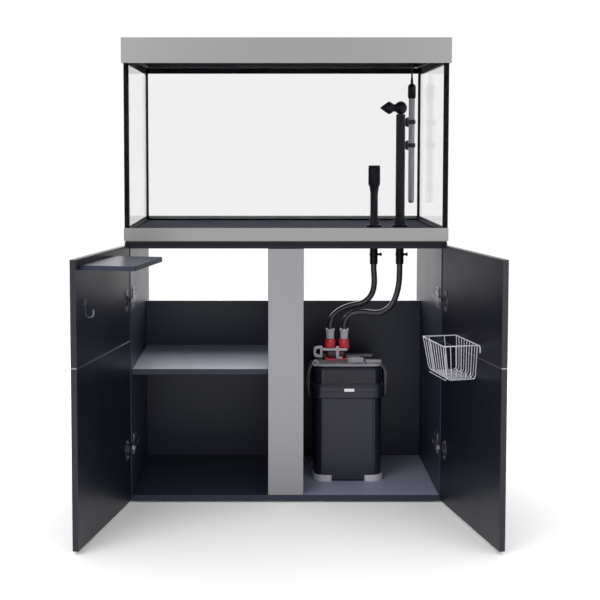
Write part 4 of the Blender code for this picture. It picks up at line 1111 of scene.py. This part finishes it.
def buildStrainer():
    low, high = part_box("intake_strainer")
    x, y = ((low + high) / 2).xy
    radius = (high.x - low.x) / 2
    bm = bmesh.new()
    turn(bm, [(0, low.z), (0.0128, low.z), (0.0128, low.z + 0.004), (radius - 0.0038, low.z + 0.018),
              (radius - 0.0002, low.z + 0.023), (radius, low.z + 0.026), (radius - 0.0022, low.z + 0.0275),
              (radius - 0.0022, high.z - 0.0070), (radius, high.z - 0.0055), (radius, high.z - 0.0020),
              (radius - 0.0015, high.z), (0, high.z)], moved(x, y, 0), 48)
    for number in range(pipes["slots"] * 2):
        plate(bm, roundedOutline(0.0026, 0.0017, 0.0005, 2), high.z - low.z - 0.034,
              around(x, y, number, pipes["slots"] * 2) @ moved(radius - 0.0014, 0, low.z + 0.0270), 0.0003, 1)
    finishPiece("strainerBasket", bm, "plastic", base, ["intake_strainer"])


def buildNozzle():
    low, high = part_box("outlet_nozzle")
    y, z = (low.y + high.y) / 2, (low.z + high.z) / 2
    x = middle("outlet_pipe").x
    ball = (high.z - low.z) / 2
    width = min(high.x - x, ball)
    bm = bmesh.new()
    angles = [math.radians(degrees) for degrees in range(-80, 81, 10)]
    profile = [(width * math.cos(angle), ball * math.sin(angle)) for angle in angles]
    turn(bm, [(0, -ball), *profile, (0, ball)], moved(x, y, z), 40)
    # the beak, turned about its own axis and then narrowed towards the tip
    part = bmesh.new()
    reach, neck = x - low.x, 0.030
    beak = [(0, 0.008), (0.0105, 0.008), (0.0098, 0.0185), (0.0110, 0.0215), (0.0165, 0.0285),
            (0.0192, 0.0345), (0.0185, 0.0385), (0.0130, 0.0465), (0.0070, 0.0545),
            (0.0035, reach - 0.002), (0.0026, reach), (0, reach)]
    turn(part, beak, quarterTurn("Y", -1), 40)
    for vert in part.verts:
        share = min(1.0, max(0.0, (-vert.co.x - neck) / (reach - neck)))
        vert.co.y *= 1.0 - 0.10 * share
    bmesh.ops.transform(part, verts=part.verts, matrix=moved(x, y, z))
    addTo(bm, part)
    turn(bm, bandProfile(0.0098, 0.0116, 0.0020, 0.0006),
         moved(x - 0.0178, y, z) @ quarterTurn("Y"), 36, True)
    finishPiece("nozzleBeak", bm, "plastic", "nozzle", ["outlet_nozzle"], 50)


def buildHeaterCap():
    low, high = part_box("heater_head")
    x, y = middle("heater_head").xy
    tall = high.z - low.z
    bm = bmesh.new()
    turn(bm, [(0, touch), (0.0108, touch), (0.0120, 0.003), (0.0120, 0.026), (0.0130, 0.028),
              (0.0130, tall - 0.010), (0.0122, tall - 0.006), (0.0085, tall - 0.0012), (0.0060, tall),
              (0, tall)], moved(x, y, low.z), 40)
    for number in range(pipes["headRibs"]):
        plate(bm, roundedOutline(0.0016, 0.0022, 0.0006, 2), 0.021,
              around(x, y, number, pipes["headRibs"]) @ moved(0.0122, 0, low.z + 0.0045), 0.0004, 1)
    finishPiece("heaterCap", bm, "plastic", base, ["heater_head"])


def buildHeaterCups():
    x, y = middle("heater_head").xy
    reach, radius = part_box("rear_glass")[0].y - 0.0004 - y, pipes["cupRadius"]
    bm = bmesh.new()
    for z in pipes["cupHeights"]:
        # ring round the tube, short arm, and the cup pressed flat on the pane
        turn(bm, bandProfile(0.0102, 0.0126, 0.007, 0.0004), moved(x, y, z), 36, True)
        turn(bm, [(0, 0.0124), (0.0045, 0.0124), (0.0042, reach - 0.009), (0.0065, reach - 0.007),
                  (0.0125, reach - 0.004), (radius, reach - 0.0008), (radius + 0.0004, reach), (0, reach)],
             moved(x - 0.006, y, z) @ upToBack, 36)
    finishPiece("heaterCups", bm, "rubber", base)


def buildLeadRelief():
    x, y = middle("heater_head").xy
    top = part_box("heater_head")[1].z
    bm = bmesh.new()
    turn(bm, [(0.0031, touch), (0.0048, touch), (0.0044, 0.006), (0.0037, 0.018), (0.0033, 0.021),
              (0.0031, 0.021)], moved(x, y, top), 28, True)
    for number in range(4):
        radius = 0.0051 - 0.0003 * number
        turn(bm, [(0.0038, -0.0009), (radius, -0.0007), (radius, 0.0007), (0.0038, 0.0009)],
             moved(x, y, top + 0.003 + 0.004 * number), 28, True)
    finishPiece("leadRelief", bm, "rubber", base)


buildBulkheads()
buildStrainer()
buildNozzle()
buildHeaterCap()
buildHeaterCups()
buildLeadRelief()
print("tank fittings made")


# screws on the hinges, the flap's grip, shelf pins and pale sheets that paint light onto the shelf top and
# the base's right part

fittings = {"screwRadius": 0.0038, "screwHeight": 0.0013, "screwSpread": 0.021, "gripLength": 0.090,
            "gripDepth": 0.010, "gripHeight": 0.0030, "pinRadius": 0.0028, "pinLength": 0.009,
            "sheet": 0.00015, "sheetLift": 0.00005, "sheetInset": 0.001, "cupFromPivot": 0.022,
            "cupFace": 0.0096, "plateFace": 0.4407, "armFace": 0.4329, "platePlaces": (0.037, 0.073),
            "plateSpread": 0.020, "armPlace": 0.055, "pinFromEdge": 0.050, "gripRibs": 9,
            "gripPitch": 0.008}


def screw(bm, place):
    radius, height = fittings["screwRadius"], fittings["screwHeight"]
    turn(bm, [(0, 0), (radius, 0), (radius, height * 0.45), (radius * 0.8, height), (radius * 0.34, height),
              (radius * 0.26, height * 0.5), (0, height * 0.5)], place, 24)


def buildHingeScrews():
    f = fittings
    for side, sign in (("left", -1), ("right", 1)):
        door, turnIn = doorPlace(side), quarterTurn("Y", -sign)
        onDoor, onSide = bmesh.new(), bmesh.new()
        for level in ("upper", "lower"):
            cup, arm = middle(f"{side}_{level}_hinge_cup").z, middle(f"{side}_{level}_hinge_arm").z
            for offset in (-1, 1):
                screw(onDoor, door @ moved(-sign * f["cupFromPivot"], f["cupFace"],
                                           cup + offset * f["screwSpread"]) @ upToBack)
            for y in f["platePlaces"]:
                for offset in (-1, 1):
                    screw(onSide, moved(sign * f["plateFace"], y + frontY,
                                        arm + offset * f["plateSpread"]) @ turnIn)
            screw(onSide, moved(sign * f["armFace"], f["armPlace"] + frontY, arm) @ turnIn)
        finishPiece(f"{side}CupScrews", onDoor, "hingeSteel", f"{side}_door")
        finishPiece(f"{side}ArmScrews", onSide, "hingeSteel", base)


def buildFlapGrip():
    f = fittings
    low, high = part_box("feeding_flap")
    y = low.y + 0.009
    bm = bmesh.new()
    plate(bm, roundedOutline(f["gripLength"], f["gripDepth"], 0.004), f["gripHeight"],
          moved(0, y, high.z - 0.0001), 0.0012, 3)
    for number in range(f["gripRibs"]):
        x = f["gripPitch"] * (number - (f["gripRibs"] - 1) / 2)
        plate(bm, roundedOutline(0.0016, 0.0060, 0.0007, 3), 0.0006,
              moved(x, y, high.z + f["gripHeight"] - touch), 0.0002, 1)
    finishPiece("flapGrip", bm, "plastic", "hood_flap")


def buildShelfPins():
    low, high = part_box("cabinet_shelf")
    radius, length = fittings["pinRadius"], fittings["pinLength"]
    profile = [(0, 0), (radius, 0), (radius, length - 0.001), (radius - 0.001, length), (0, length)]
    bm = bmesh.new()
    for y in (low.y + fittings["pinFromEdge"], high.y - fittings["pinFromEdge"]):
        for x, sign in ((low.x, 1), (high.x, -1)):
            turn(bm, profile, moved(x + sign * touch, y, low.z - radius - touch) @ quarterTurn("Y", sign), 20)
    finishPiece("shelfPins", bm, "chrome", base)


# thin pale films on the shelf top and the base's right part: painted light where the light falls on these
# surfaces
def buildPaintedLightSheets():
    shelfLow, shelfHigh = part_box("cabinet_shelf")
    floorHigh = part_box("base_panel")[1]
    divider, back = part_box("centre_divider")[1].x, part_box("back_panel")[0].y
    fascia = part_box("centre_fascia")[1]
    inset = fittings["sheetInset"]
    bm = bmesh.new()
    for surface, x0, y0, x1, y1 in ((shelfHigh.z, shelfLow.x, shelfLow.y + inset, shelfHigh.x, back),
                                    (floorHigh.z, divider, fascia.y, floorHigh.x, back),
                                    (floorHigh.z, fascia.x, frontY + inset, floorHigh.x,
                                     fascia.y + 2 * inset)):
        z = surface + fittings["sheetLift"]
        block(bm, (x0 + inset, y0 + inset, z), (x1 - inset, y1 - inset, z + fittings["sheet"]))
    finishPiece("paintedLightSheets", bm, "sheet", base)


buildHingeScrews()
buildFlapGrip()
buildShelfPins()
buildPaintedLightSheets()
print("small fittings added")
